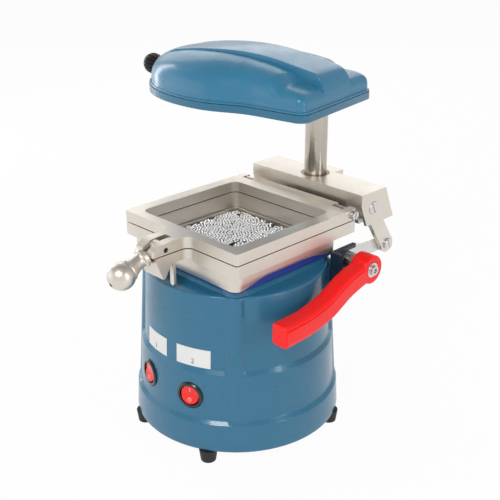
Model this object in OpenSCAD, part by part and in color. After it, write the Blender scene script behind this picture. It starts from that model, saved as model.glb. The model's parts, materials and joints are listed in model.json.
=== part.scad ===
// Dental vacuum former: body at the origin, front towards -Y, table at z = 0, all sizes in mm.

/* [Clamp frame] */
// Outside width of the two clamp frames
frame_w = 135; // [120:1:150]
// Width of the forming window
window_w = 112.8; // [100:0.1:118]
// Depth of the forming window
window_d = 108.6; // [96:0.1:114]
// Corner radius of the forming window
window_r = 7; // [3:0.5:12]
// How far the upper frame opens, in degrees
open_max = 45; // [30:1:45]

/* [Body] */
// Radius of the body at its rim
rim_r = 77.4; // [74:0.1:80]
// Height of the body rim above the table
rim_z = 147.6; // [144:0.1:150]
// Wall thickness of the painted casting
wall_t = 3.2; // [2.4:0.1:4]
// Height of the rubber feet
foot_h = 11.4; // [9:0.1:16]

/* [Column and head] */
// Diameter of the steel column
column_d = 20; // [16:0.5:22]
// Distance of the column behind the body axis
column_y = 99.3; // [98:0.1:101]
// Underside of the heater head
head_z = 261; // [255:0.5:270]
// Half the width of the head at its round front
head_r = 68; // [64:0.1:71]
// Swing of the head from straight ahead, as drawn
head_swing = 80.4; // [60:0.1:95]

/* [Holes in the suction plate] */
// Holes along each side of the suction plate
suction_n = 11; // [7:1:13]
// Diameter of one suction hole
suction_d = 3; // [2:0.1:4]

/* [Hidden] */
$fn = 64;
e = 0.01;
fh = frame_w / 2;
wy = -0.9;
wx2 = window_w / 2;
wy2 = window_d / 2;
fy0 = wy - wy2 - 9.15;
fy1 = wy + wy2 + 22.2;
tray_z = rim_z + 5;
gask_z = tray_z + 7.6;
lf_z0 = gask_z + 9.1;
lf_z1 = lf_z0 + 10.6;
uf_z0 = lf_z1 + 0.85;
uf_z1 = uf_z0 + 9.35;
hinge = [0, fy1 - 4.1, uf_z0 + 4.45];
knuckle_x0 = fh - 19.5;
knuckle_x1 = fh - 7.9;
skirt_z = lf_z0 - 14.4;
skirt_w = window_w + 12.2;
skirt_d = window_d + 9.2;
skirt_sx = wx2 + 1.4;
skirt_sy = wy2 + 0.8;
ear_x = 1.5;
ear_w = 22.4;
slot_w = 6.8;
bolt_p = [ear_x, fy0 - 22.45, uf_z0 + 3.55];
bolt_a = 21.9;
shaft_p = [0, rim_r - 13.4, rim_z - 1.3];
link_p = [0, column_y - 3.45, lf_z0 + 16.55];
crank_p = [0, link_p[1] + 27.05, rim_z - 3.7];
link_len = norm(link_p - crank_p);
link_tilt = atan2(crank_p[1] - link_p[1], link_p[2] - crank_p[2]);
crank_len = norm(crank_p - shaft_p);
hole_step = 92 / (suction_n - 1);
crank_tilt = atan2(crank_p[2] - shaft_p[2], crank_p[1] - shaft_p[1]);
col_r = column_d / 2;
seat_z = foot_h + 5.4;
block_x0 = -59.4;
block_z = lf_z0 + 31.4;
clamp_z = lf_z0 + 16.7;
flange_x = [-30, -10, 10, 30];
lobe_y = -79.2;
nose_l = head_r + 31;
waist_w = head_r - 9.9;
rear_w = head_r - 9.6;
rear_y = 23.2;
spine_w = 24.5;
heat_y = lobe_y - 17.8;
heat_r = head_r - 14;
coil_z = head_z + 7;
coil_rings = [for (i = [0:4]) heat_r - 44 + i * 7.2];
hub_z = head_z + 5;
hub_screw_r = 17;
lip_z = head_z + 8.5;
knob_y = lobe_y - nose_l - 10.3;
knob_z = head_z + 16;
post_r = rim_r - 11.4;
fan_r = rim_r - 23.4;
lug_y = rim_r - 26.4;
pad_x = max(rim_r - 13.95, wx2 + 7.05);
crank_x = pad_x - 6.45;
link_x = pad_x - 1.8;
hub_x = pad_x + 17.85;
block_x1 = link_x + 8.1;
switch_a = [-71, -104.5];
switch_z = [58.5, 60];
sw_r = rim_r + 6;
foot_ring = rim_r + 7.2;
inlet_r = rim_r + 8.2;

// Shared shapes

module rbox(sx, sy, h, r) {
    translate([-sx / 2 + r, -sy / 2, 0]) cube([sx - 2 * r, sy, h]);
    translate([-sx / 2, -sy / 2 + r, 0]) cube([sx, sy - 2 * r, h]);
    for (x = [-1, 1])
        for (y = [-1, 1])
            translate([x * (sx / 2 - r), y * (sy / 2 - r), 0]) cylinder(r = r, h = h);
}

module rod_x(p, r, x0, x1) {
    translate([x0, p[1], p[2]]) rotate([0, 90, 0]) cylinder(r = r, h = x1 - x0);
}

module polar(a, r, z) {
    rotate([0, 0, a]) translate([r, 0, z]) children();
}

module outward(a, r, z) {
    rotate([0, 0, a]) translate([r, 0, z]) rotate([0, 90, 0]) children();
}

module window(grow, z0, z1, r) {
    translate([0, wy, z0]) rbox(window_w + 2 * grow, window_d + 2 * grow, z1 - z0, r);
}

module head_pose() {
    translate([0, column_y, 0]) rotate([0, 0, -head_swing]) children();
}

// Body

function low_r(z) = rim_r + 12.5 - (z - seat_z) * 0.07;
function mid_r(z) = rim_r + 8 - (z - 39.5) * 0.052;
function top_r(z) = rim_r + 3.2 * (rim_z - z) / (rim_z - 84);

module body_outer() {
    rotate_extrude($fn = 128)
        polygon([[0, foot_h], [rim_r + 10.8, foot_h], [rim_r + 11.9, foot_h + 0.5],
            [rim_r + 12.4, foot_h + 1.8], [low_r(seat_z), seat_z], [low_r(36), 36], [rim_r + 9, 38.3],
            [mid_r(39.5), 39.5],
            [mid_r(80), 80], [rim_r + 4.2, 82.5], [top_r(84), 84],
            [top_r(rim_z - 1.2), rim_z - 1.2], [rim_r - 1.2, rim_z], [0, rim_z]]);
}

module body_inner() {
    rotate_extrude($fn = 128)
        polygon([[0, foot_h + 4.4], [low_r(seat_z) - wall_t, foot_h + 4.4], [low_r(36) - wall_t, 36],
            [mid_r(40) - wall_t, 40], [mid_r(80) - wall_t - 0.6, 80], [top_r(85) - wall_t, 85],
            [rim_r - wall_t, rim_z - 4], [0, rim_z - 4]]);
}

module pillars() {
    for (a = [45, 135, 225, 315])
        intersection() {
            polar(a, rim_r - 7.9, rim_z) rotate([0, -3.77, 0])
                translate([0, 0, -140]) cylinder(r = 10.5, h = 150);
            translate([-100, -100, foot_h + 2.1]) cube([200, 200, rim_z - foot_h - 2.1]);
        }
}

module base_housing() {
    color([0.29, 0.49, 0.60])
    difference() {
        union() {
            difference() {
                body_outer();
                body_inner();
            }
            pillars();
            window_platform();
            translate([0, column_y, foot_h]) cylinder(r = 15, h = rim_z - 7.6 - foot_h);
            translate([-13, 79, foot_h]) cube([26, column_y - 79, rim_z - 7.6 - foot_h]);
            translate([pad_x - 13.45, lug_y - 8, 112]) cube([13.4, 13.3, 31]);
            foot_bosses();
            polar(180, rim_r + 0.6, 62) translate([0, -18, -15]) cube([7.6, 36, 30]);
        }
        translate([0, 0, foot_h - 1.6]) cylinder(r = rim_r + 3.9, h = 7, $fn = 128);
        translate([0, column_y, seat_z]) cylinder(r = col_r + 0.03, h = 140);
        translate([0, 0, 120]) cylinder(r = 18, h = 40);
        for (i = [0, 1])
            outward(switch_a[i], sw_r - 13.4, switch_z[i]) {
                cylinder(r = 10.2, h = 30);
                translate([0, 0, 13.4]) cylinder(r = 11.8, h = 10);
            }
        polar(180, rim_r - 17.4, 62) translate([0, -14, -10.5]) cube([40, 28, 21]);
        for (y = [-15.6, 15.6])
            polar(180, rim_r - 7.4, 62) translate([0, y, 0]) rotate([0, 90, 0]) cylinder(r = 1.2, h = 30);
        foot_holes(1.98, foot_h - 1, 22);
        for (a = [45, 135, 225, 315])
            polar(a, post_r + 8, foot_h - 2.6) cylinder(r = 1.98, h = 14);
        for (z = [121, 135])
            rod_x([0, lug_y, z], 2.02, pad_x - 8.45, pad_x + 6.55);
        for (z = [40, 120])
            translate([0, column_y, z]) rotate([-90, 0, 0]) cylinder(r = 2.52, h = 20);
    }
}

module window_platform() {
    translate([0, wy, rim_z - 4]) rbox(window_w + 6.2, window_d + 4.4, tray_z - rim_z + 4, 7);
}

foot_pos = [for (a = [-60.7, -119.3, 29.3, 150.7]) [foot_ring * cos(a), foot_ring * sin(a)]];
all_feet = concat(foot_pos, [[0, column_y + 1.7]]);

module foot_bosses() {
    for (i = [0:3])
        translate([foot_pos[i][0], foot_pos[i][1], foot_h]) cylinder(r = 5, h = 12);
}

module foot_holes(r, z0, z1) {
    for (p = all_feet)
        translate([p[0], p[1], z0]) cylinder(r = r, h = z1 - z0);
}

module rubber_feet() {
    color([0.07, 0.07, 0.08])
    for (p = all_feet)
        translate([p[0], p[1], 0])
            difference() {
                union() {
                    cylinder(r1 = 6.4, r2 = 7.8, h = foot_h - 1);
                    translate([0, 0, foot_h - 1]) cylinder(r = 7.8, h = 1);
                }
                translate([0, 0, -1]) cylinder(r = 4, h = 5.5);
                cylinder(r = 2.05, h = 30);
            }
}

module m4_screws() {
    color([0.75, 0.76, 0.78]) {
        for (p = all_feet)
            translate([p[0], p[1], 4.5]) rotate([180, 0, 0]) pan_screw(3.6, 2.2, 1.96, foot_h + 0.4);
        for (a = [45, 135, 225, 315])
            polar(a, post_r + 8, foot_h) rotate([180, 0, 0]) pan_screw(3.6, 2, 1.95, 9);
        for (a = [0, 90, 180, 270])
            polar(a, post_r, foot_h) rotate([180, 0, 0]) pan_screw(3.6, 2, 1.95, 9);
        for (a = [0, 90, 180, 270])
            polar(a, post_r, 96) pan_screw(3.6, 2.4, 1.95, 9);
        for (a = [30, 150, 270])
            polar(a, fan_r - 8, 104) pan_screw(3.6, 2.2, 1.95, 12.6);
        for (z = [121, 135])
            translate([pad_x + 4.15, lug_y, z]) rotate([0, 90, 0]) pan_screw(3.6, 2.2, 1.98, 11);
    }
}

module pan_screw(hr, hh, sr, len) {
    difference() {
        union() {
            cylinder(r1 = hr, r2 = hr * 0.8, h = hh);
            translate([0, 0, -len]) cylinder(r = sr, h = len + e);
        }
        for (a = [0, 90])
            rotate([0, 0, a]) translate([-hr * 0.55, -0.4, hh - 1]) cube([hr * 1.1, 0.8, 2]);
    }
}

module bottom_plate() {
    color([0.62, 0.64, 0.66])
    difference() {
        translate([0, 0, foot_h]) cylinder(r = rim_r + 3.6, h = 2.05, $fn = 128);
        for (a = [0:20:340])
            polar(a + 10, 50, foot_h - 3) {
                translate([-9, -2, 0]) cube([18, 4, 10]);
                translate([-9, 0, 0]) cylinder(r = 2, h = 10);
                translate([9, 0, 0]) cylinder(r = 2, h = 10);
            }
        for (a = [45, 135, 225, 315])
            polar(a, post_r + 8, foot_h - 3) cylinder(r = 2.05, h = 14);
        for (a = [0, 90, 180, 270])
            polar(a, post_r, foot_h - 3) cylinder(r = 2.05, h = 14);
        foot_holes(3.5, foot_h - 3, foot_h + 8);
    }
}

// Vacuum motor

module motor_shelf() {
    color([0.66, 0.68, 0.70])
    difference() {
        translate([0, 0, 94]) cylinder(r = rim_r - 6.4, h = 2, $fn = 96);
        translate([0, 0, 90]) cylinder(r = 37, h = 10);
        for (a = [0, 90, 180, 270])
            polar(a, post_r, 90) cylinder(r = 2.05, h = 10);
        for (a = [45, 135, 225, 315])
            polar(a, rim_r - 4.4, 90) cylinder(r = 11.5, h = 10);
        for (a = [30, 150, 270])
            polar(a, fan_r - 8, 90) cylinder(r = 2.05, h = 10);
    }
}

module standoffs() {
    color([0.78, 0.70, 0.45])
    for (a = [0, 90, 180, 270])
        polar(a, post_r, foot_h + 2.05)
            difference() {
                cylinder(r = 4, h = 94 - foot_h - 2.05, $fn = 6);
                translate([0, 0, -1]) cylinder(r = 1.98, h = 12);
                translate([0, 0, 68]) cylinder(r = 1.98, h = 20);
            }
}

module motor_can() {
    color([0.35, 0.36, 0.38])
    difference() {
        union() {
            translate([0, 0, 34]) cylinder(r = 40, h = 60);
            translate([0, 0, 91]) cylinder(r = fan_r - 3, h = 3);
            translate([0, 0, 30]) cylinder(r = 15, h = 5);
        }
        translate([0, 0, 37]) cylinder(r = 38, h = 60);
        translate([0, 0, 31.5]) cylinder(r = 11.02, h = 10);
        translate([0, 0, 25]) cylinder(r = 6, h = 20);
        for (a = [0:45:315])
            outward(a, 30, 42) cylinder(r = 3, h = 20);
        for (a = [30, 150, 270])
            polar(a, fan_r - 8, 90) cylinder(r = 1.98, h = 12);
    }
}

module stator() {
    color([0.55, 0.33, 0.18])
    difference() {
        translate([0, 0, 48]) cylinder(r = 37.95, h = 38);
        translate([0, 0, 40]) cylinder(r = 25, h = 60);
        for (a = [0:30:330])
            polar(a, 29, 40) cylinder(r = 2.6, h = 60, $fn = 24);
    }
}

module bearings() {
    color([0.80, 0.81, 0.83])
    for (z = [31.5, 96.5])
        translate([0, 0, z])
            difference() {
                cylinder(r = 11, h = 6.5);
                translate([0, 0, -1]) cylinder(r = 4.05, h = 10);
            }
}

module rotor() {
    color([0.50, 0.51, 0.54]) {
        translate([0, 0, 28]) cylinder(r = 4, h = 101);
        difference() {
            translate([0, 0, 50]) cylinder(r = 24, h = 34);
            for (a = [0:30:330])
                polar(a, 22.5, 40) cylinder(r = 1.6, h = 60, $fn = 24);
        }
    }
}

module impeller() {
    color([0.80, 0.81, 0.82])
    difference() {
        union() {
            translate([0, 0, 108]) cylinder(r = fan_r - 7, h = 1.6);
            translate([0, 0, 106]) cylinder(r = 10, h = 12);
            difference() {
                translate([0, 0, 122]) cylinder(r1 = fan_r - 7, r2 = 20, h = 5);
                translate([0, 0, 120.8]) cylinder(r1 = fan_r - 7, r2 = 20, h = 5);
                translate([0, 0, 120]) cylinder(r = 20, h = 10);
            }
            intersection() {
                translate([0, 0, 108.5]) rotate_extrude()
                    polygon([[12, 0], [fan_r - 7.4, 0], [fan_r - 7.4, 13.4], [20, 18.1], [12, 18.1]]);
                for (a = [0:40:320])
                    rotate([0, 0, a]) translate([20, 0, 108])
                        rotate([0, 0, 25]) translate([-3, -0.7, 0]) cube([fan_r - 25, 1.4, 20]);
            }
        }
        translate([0, 0, 100]) cylinder(r = 4.01, h = 30);
    }
}

module fan_bowl() {
    color([0.86, 0.86, 0.84])
    difference() {
        translate([0, 0, 96]) cylinder(r = fan_r, h = 30);
        translate([0, 0, 104]) cylinder(r = fan_r - 3, h = 30);
        translate([0, 0, 95.9]) cylinder(r = 11.02, h = 7.1);
        translate([0, 0, 95]) cylinder(r = 6, h = 20);
        for (a = [0, 120, 240])
            outward(a, fan_r - 9, 115) cylinder(r = 6, h = 20);
        for (a = [30, 150, 270])
            polar(a, fan_r - 8, 90) cylinder(r = 2, h = 20);
    }
}

module fan_lid() {
    color([0.82, 0.82, 0.80])
    difference() {
        union() {
            translate([0, 0, 126]) cylinder(r = fan_r, h = 2.5);
            translate([0, 0, 128]) cylinder(r1 = 40, r2 = 27, h = 8);
        }
        translate([0, 0, 120]) cylinder(r = 19, h = 30);
        translate([0, 0, 125.9]) cylinder(r1 = 40, r2 = 19, h = 8);
    }
}

module seal_ring() {
    color([0.10, 0.10, 0.11])
    difference() {
        translate([0, 0, 136]) cylinder(r = 26, h = rim_z - 4 - 136);
        translate([0, 0, 135]) cylinder(r = 19, h = 20);
    }
}

// Electrical parts

module switch_body(i) {
    color([0.06, 0.06, 0.07])
    outward(switch_a[i], sw_r, switch_z[i])
        difference() {
            union() {
                translate([0, 0, -14]) cylinder(r = 10.1, h = 14.5);
                cylinder(r = 11.6, h = 1.4);
                translate([0, 0, 1.4]) cylinder(r1 = 11.6, r2 = 10.6, h = 1);
                for (y = [-4, 4])
                    translate([-3, y - 0.4, -20]) cube([6, 0.8, 7]);
            }
            translate([0, 0, -10.5]) cylinder(r = 8.95, h = 20);
            translate([0, 0, -4]) rotate([90, 0, 0]) translate([0, 0, -9.6]) cylinder(r = 1.26, h = 19.2);
        }
}

module rocker(i) {
    color([0.90, 0.13, 0.10])
    outward(switch_a[i], sw_r, switch_z[i])
        translate([0, 0, -4]) rotate([0, -6, 0]) {
            difference() {
                translate([0, 0, -4.5]) cylinder(r = 8, h = 11.4);
                for (s = [-1, 1])
                    translate([0, 0, 5.2]) rotate([0, s * 9, 0]) translate([s > 0 ? -20 : 0, -10, 0])
                        cube([20, 20, 6]);
            }
            rotate([90, 0, 0]) translate([0, 0, -9.4]) cylinder(r = 1.2, h = 18.8);
        }
}

module switch_body_left() {
    switch_body(1);
}

module switch_body_right() {
    switch_body(0);
}

module rocker_left() {
    rocker(1);
}

module rocker_right() {
    rocker(0);
}

module front_plates() {
    color([0.93, 0.93, 0.92])
    for (q = [[-78, 20], [-101.5, 16.5]])
        rotate([0, 0, q[0]]) rotate_extrude(angle = q[1], $fn = 128)
            polygon([[top_r(87) + 0.02, 87], [top_r(87) + 0.7, 87],
                [top_r(103.5) + 0.7, 103.5], [top_r(103.5) + 0.02, 103.5]]);
}

module power_inlet() {
    color([0.07, 0.07, 0.08])
    polar(180, inlet_r, 62)
        difference() {
            union() {
                translate([0, -18, -13]) cube([2.4, 36, 26]);
                translate([-13.5, -13.9, -10.4]) cube([13.6, 27.8, 20.8]);
            }
            translate([-11.5, -11.5, -8]) cube([30, 23, 16]);
            for (y = [-6.5, 0, 6.5])
                translate([-16, y - 1, -2.5]) cube([8, 2, 5]);
        }
}

module inlet_pins() {
    color([0.82, 0.80, 0.72])
    polar(180, inlet_r, 62)
        for (y = [-6.5, 0, 6.5])
            translate([-15, y - 0.98, -2.48]) cube([y == 0 ? 13 : 12, 1.96, 4.96]);
}

// Vacuum bed

module blue_gasket() {
    color([0.16, 0.22, 0.60])
    difference() {
        window(4.5, tray_z, gask_z, 7.5);
        window(0.2, tray_z - 1, gask_z + 1, 5.2);
    }
}

module shot_tray() {
    color([0.80, 0.80, 0.79])
    difference() {
        window(-0.2, tray_z, tray_z + 13, 5);
        window(-1.6, tray_z + 6.1, tray_z + 18, 3.6);
        window(-5, tray_z + 2, tray_z + 18, 3);
        translate([0, 0, tray_z - 3]) cylinder(r = 18, h = 10);
    }
}

module suction_plate() {
    middle = (suction_n - 1) / 2;
    color([0.74, 0.75, 0.76])
    difference() {
        window(-1.7, tray_z + 6.1, tray_z + 7.3, 3.5);
        for (i = [0:suction_n - 1])
            for (j = [0:suction_n - 1])
                translate([(i - middle) * hole_step, wy + (j - middle) * hole_step, tray_z + 5])
                    cylinder(r = suction_d / 2, h = 4, $fn = 16);
    }
}

module steel_shot() {
    color([0.85, 0.86, 0.88])
    window(-1.75, tray_z + 7.35, tray_z + 12.2, 3.4);
}

// Column

module column() {
    color([0.80, 0.77, 0.72])
    translate([0, column_y, 0]) {
        translate([0, 0, seat_z]) cylinder(r = col_r, h = hub_z - seat_z);
        translate([0, 0, hub_z]) cylinder(r = 7, h = 15.5);
    }
}

module column_screws() {
    color([0.30, 0.31, 0.33])
    for (z = [40, 120])
        translate([0, column_y + col_r + 0.04, z]) rotate([-90, 0, 0])
            difference() {
                cylinder(r = 2.48, h = 14.9 - col_r);
                translate([0, 0, 3]) cylinder(r = 1.3, h = 4, $fn = 6);
            }
}

module thrust_washer() {
    color([0.72, 0.58, 0.32])
    translate([0, column_y, hub_z])
        difference() {
            cylinder(r = col_r, h = 1);
            translate([0, 0, -1]) cylinder(r = 7.05, h = 4);
        }
}

module column_nut() {
    color([0.78, 0.79, 0.81])
    translate([0, column_y, hub_z + 9.1])
        difference() {
            union() {
                cylinder(r = 12, h = 1.4);
                translate([0, 0, 1.4]) cylinder(r = 11, h = 5, $fn = 6);
            }
            translate([0, 0, -1]) cylinder(r = 7.03, h = 12);
        }
}

// Lever bearing

module lever_bracket() {
    color([0.10, 0.16, 0.22])
    difference() {
        union() {
            translate([pad_x, lug_y - 3.4, 112]) cube([4.1, 7.4, rim_z + 6.4 - 112]);
            translate([pad_x, lug_y - 3.4, 132]) cube([4.1, 31.4, rim_z + 8.9 - 132]);
            translate([pad_x, lug_y, rim_z + 7.9]) cube([13.5, 28, 2.4]);
            rod_x(shaft_p, 9, pad_x, pad_x + 15.55);
        }
        rod_x(shaft_p, 8.02, pad_x - 3.45, pad_x + 26.55);
        for (z = [121, 135])
            rod_x([0, lug_y, z], 2.05, pad_x - 3.45, pad_x + 6.55);
    }
}

module shaft_bush() {
    color([0.72, 0.58, 0.32])
    difference() {
        rod_x(shaft_p, 8, pad_x, pad_x + 15.55);
        rod_x(shaft_p, 5.05, pad_x - 3.45, pad_x + 26.55);
    }
}

// Carriage

module block_profile() {
    rotate([90, 0, 90]) linear_extrude(block_x1 - block_x0)
        polygon([[column_y - 19.8, block_z], [column_y + 12.7, block_z], [column_y + 25.1, lf_z0 + 1.8],
            [column_y - 11.8, lf_z0 + 1.8], [column_y - 19.8, block_z - 10.7]]);
}

module carriage_block() {
    color([0.84, 0.80, 0.75])
    difference() {
        union() {
            translate([block_x0, 0, 0]) block_profile();
            translate([-12, column_y + 5.7, lf_z0 + 6.7]) cube([24, 19, block_z - lf_z0 - 6.7]);
            translate([-40, fy1 - 14.6, lf_z0 - 5.5]) cube([80, column_y + 27.3 - fy1, 5.5]);
            translate([-40, column_y - 13.3, lf_z0 - 1.3]) cube([80, 30, 4]);
        }
        translate([0, column_y, 150]) cylinder(r = col_r + 1, h = 80);
        translate([0, column_y, block_z - 10]) cylinder(r = 13.02, h = 20);
        translate([0, column_y, lf_z0 - 9.3]) cylinder(r = 13.02, h = 14);
        translate([link_x - 0.45, column_y - 14.8, lf_z0 - 9.3]) cube([6, 50, block_z - lf_z0 + 4.1]);
        rod_x(link_p, 3.02, link_x - 11.65, link_x + 13.35);
        rod_x(link_p, 5.7, link_x + 6.55, link_x + 13.35);
        translate([0, column_y + 10.7, clamp_z]) rotate([-90, 0, 0]) cylinder(r = 3.02, h = 30);
        for (x = flange_x)
            translate([x, fy1 - 7.6, lf_z0 - 9.3]) cylinder(r = 2.55, h = 12);
    }
}

module column_bushes() {
    color([0.72, 0.58, 0.32])
    for (z = [lf_z0 - 5.5, block_z - 10])
        translate([0, column_y, z])
            difference() {
                cylinder(r = 13, h = 10);
                translate([0, 0, -1]) cylinder(r = col_r + 0.05, h = 20);
            }
}

module slot_screw(hr, hh, sr, len) {
    difference() {
        union() {
            cylinder(r = hr, h = hh);
            translate([0, 0, -len]) cylinder(r = sr, h = len + e);
        }
        translate([-hr - 1, -0.6, hh - 0.9]) cube([2 * hr + 2, 1.2, 2]);
    }
}

module link_screw() {
    color([0.78, 0.76, 0.72])
    translate([link_x + 6.55, link_p[1], link_p[2]]) rotate([0, 90, 0]) rotate([0, 0, 25])
        slot_screw(5.5, 1.9, 3, 16);
}

module clamp_screw() {
    color([0.55, 0.56, 0.58])
    translate([0, column_y + 24.7, clamp_z]) rotate([-90, 0, 0]) {
        translate([0, 0, -13.6]) cylinder(r = 3, h = 15);
        translate([0, 0, 1]) cylinder(r = 7, h = 6, $fn = 12);
    }
}

module frame_screws() {
    color([0.60, 0.61, 0.63])
    for (x = flange_x)
        translate([x, fy1 - 7.6, lf_z0 - 5.5]) rotate([180, 0, 0])
            difference() {
                union() {
                    cylinder(r = 4.2, h = 3.6);
                    translate([0, 0, -13]) cylinder(r = 2.48, h = 13 + e);
                }
                translate([0, 0, 1.6]) cylinder(r = 2, h = 4, $fn = 6);
            }
    color([0.75, 0.76, 0.78])
    for (x = [-skirt_sx, skirt_sx])
        for (y = [-skirt_sy, skirt_sy])
            translate([x, wy + y, lf_z0 - 6.3]) rotate([180, 0, 0]) pan_screw(2.2, 1.6, 1.2, 10);
}

module ear_slab(pts, x0, x1) {
    translate([x0, fy0, lf_z0]) rotate([90, 0, 90]) linear_extrude(x1 - x0) polygon(pts);
}

module ear_fillets(z0, z1) {
    for (s = [-1, 1])
        difference() {
            translate([ear_x + s * (ear_w / 2 + 3) - 3.5, fy0 - 7, z0]) cube([7, 8, z1 - z0]);
            translate([ear_x + s * (ear_w / 2 + 7), fy0 - 7, z0 - 1]) cylinder(r = 7, h = z1 - z0 + 2);
        }
}

module plate_blank(z0, z1) {
    translate([0, (fy0 + fy1) / 2, z0]) rbox(frame_w, fy1 - fy0, z1 - z0, 2.5);
}

module lower_frame() {
    color([0.86, 0.82, 0.78])
    difference() {
        union() {
            plate_blank(lf_z0, lf_z1);
            ear_slab([[0.4, 2.2], [-17.7, 2.2], [-22.2, -6.1], [-23.9, -8.6], [-26.1, -8.6],
                [-31.7, 6.2], [-32, 7.7], [-32, 10.6], [0.4, 10.6]],
                ear_x - ear_w / 2, ear_x + ear_w / 2);
            ear_fillets(lf_z0 + 2.2, lf_z1);
            for (s = [-1, 1]) {
                translate([s > 0 ? knuckle_x0 : -knuckle_x1, hinge[1] - 4.6, lf_z1 - 1])
                    cube([knuckle_x1 - knuckle_x0, 8.7, hinge[2] - lf_z1 + 1]);
                rod_x(hinge, 4.6, s > 0 ? knuckle_x0 : -knuckle_x1, s > 0 ? knuckle_x1 : -knuckle_x0);
            }
        }
        window(0, lf_z0 - 9, lf_z1 + 10, window_r);
        translate([ear_x - slot_w / 2, fy0 - 35.65, lf_z0 + 5.1]) cube([slot_w, 20.5, 10]);
        rod_x(hinge, 2.52, -80, 80);
        for (x = flange_x)
            translate([x, fy1 - 7.6, lf_z0 - 5]) cylinder(r = 2.52, h = 12.9);
        for (x = [-skirt_sx, skirt_sx])
            for (y = [-skirt_sy, skirt_sy])
                translate([x, wy + y, lf_z0 - 5]) cylinder(r = 1.22, h = 10);
        translate([ear_x + 8.6, fy0 - 14.15, lf_z0 - 5]) cylinder(r = 1.5, h = 13.7);
    }
}

module skirt() {
    color([0.80, 0.76, 0.72])
    difference() {
        translate([0, wy, skirt_z]) rbox(skirt_w, skirt_d, lf_z0 - skirt_z, 8);
        window(0.8, skirt_z - 5, lf_z0 + 5, 5.8);
        window(4.8, skirt_z - 5, gask_z + 0.05, 7.8);
        translate([-70, wy, gask_z - 350]) rotate([0, 90, 0]) cylinder(r = 350, h = 140, $fn = 200);
        translate([0, -70, gask_z - 350]) rotate([-90, 0, 0]) cylinder(r = 350, h = 140, $fn = 200);
        for (x = [-skirt_sx, skirt_sx])
            for (y = [-skirt_sy, skirt_sy])
                translate([x, wy + y, lf_z0 - 19.3]) {
                    cylinder(r = 1.25, h = 30);
                    cylinder(r = 2.3, h = 13);
                }
    }
}

module clamp_gasket() {
    color([0.05, 0.05, 0.05])
    difference() {
        window(6, lf_z1, lf_z1 + 0.8, 9);
        window(0.15, lf_z1 - 1, lf_z1 + 3, 7);
    }
}

module hinge_screws() {
    color([0.66, 0.66, 0.66])
    for (s = [-1, 1])
        translate([s * (fh + 0.1), hinge[1], hinge[2]]) rotate([0, s * 90, 0])
            slot_screw(3.8, 2.6, 2.5, 19);
}

module guide_tongue() {
    color([0.82, 0.80, 0.78])
    translate([ear_x + 8.6, fy0 - 14.15, lf_z0]) {
        translate([-2.3, -1.2, -15.3]) cube([4.6, 2.4, 17.5]);
        translate([0, 1.2, -15.3]) rotate([90, 0, 0]) cylinder(r = 2.3, h = 2.4);
        translate([0, 0, 1.7]) cylinder(r = 1.46, h = 6.5);
    }
}

// Upper frame and lock

module upper_frame() {
    color([0.88, 0.84, 0.80])
    difference() {
        union() {
            difference() {
                plate_blank(uf_z0, uf_z1);
                translate([-80, hinge[1], uf_z0 - 10]) cube([160, 20, hinge[2] - uf_z0 + 10]);
            }
            rod_x(hinge, 4.1, -fh, fh);
            ear_slab([[0.4, 11.45], [-35, 11.45], [-35, 12.5], [-33.1, 16.1], [-30.3, 18.3],
                [-26.7, 19.7], [-23.1, 20.5], [-18.7, 20.8], [0.4, 20.8]],
                ear_x - ear_w / 2, ear_x + ear_w / 2);
            ear_fillets(uf_z0, uf_z1);
        }
        window(0, uf_z0 - 10, uf_z1 + 10, window_r);
        translate([ear_x - slot_w / 2, fy0 - 36.65, uf_z0 - 3]) cube([slot_w, 26, 15]);
        rod_x(bolt_p, 2.1, -12, 18);
        rod_x(hinge, 2.56, -80, 80);
        for (s = [-1, 1])
            translate([s > 0 ? knuckle_x0 - 0.4 : -knuckle_x1 - 0.4, hinge[1] - 5.5, uf_z0 - 10])
                cube([knuckle_x1 - knuckle_x0 + 0.8, 20, 30]);
    }
}

module lock_pin() {
    color([0.40, 0.37, 0.34])
    rod_x(bolt_p, 2.08, ear_x - ear_w / 2 + 1.2, ear_x + ear_w / 2 - 1.2);
}

module bolt_pose() {
    translate(bolt_p) rotate([90 + bolt_a, 0, 0]) children();
}

module swing_bolt() {
    color([0.80, 0.79, 0.77])
    bolt_pose()
        difference() {
            union() {
                translate([-2.9, 0, 0]) rotate([0, 90, 0]) cylinder(r = 5, h = 5.8);
                cylinder(r = 2.5, h = 38);
            }
            translate([-5, 0, 0]) rotate([0, 90, 0]) cylinder(r = 2.14, h = 10);
        }
}

module lock_knob() {
    color([0.72, 0.69, 0.65])
    bolt_pose() rotate_extrude($fn = 96)
        difference() {
            union() {
                polygon([[2.56, 13.2], [7.5, 13.2], [8, 13.7], [8, 16.5], [7.5, 17], [6.2, 17.2],
                    [5.8, 18], [5.9, 20.5], [6.4, 23.8], [7.3, 26.8], [8.4, 28.8], [9, 29.4],
                    [9, 30.6], [8.3, 31], [8.3, 40], [2.56, 40]]);
                intersection() {
                    translate([0, 37.6]) circle(r = 11.1);
                    translate([0, 31]) square([12, 17.6]);
                }
            }
            translate([-15, 0]) square([15, 60]);
            translate([0, 10]) square([2.56, 31]);
            translate([0, 44]) square([1.7, 10]);
        }
}

// Lever and lift linkage

module lever_shaft() {
    color([0.72, 0.73, 0.75]) {
        difference() {
            rod_x(shaft_p, 5, crank_x - 2, hub_x + 10.7);
            rod_x(shaft_p, 2.52, hub_x - 3.3, hub_x + 11.7);
        }
        difference() {
            rod_x(shaft_p, 7.4, crank_x + 4.6, pad_x - 0.05);
            rod_x(shaft_p, 4.9, crank_x + 4, pad_x + 0.55);
        }
    }
}

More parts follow.
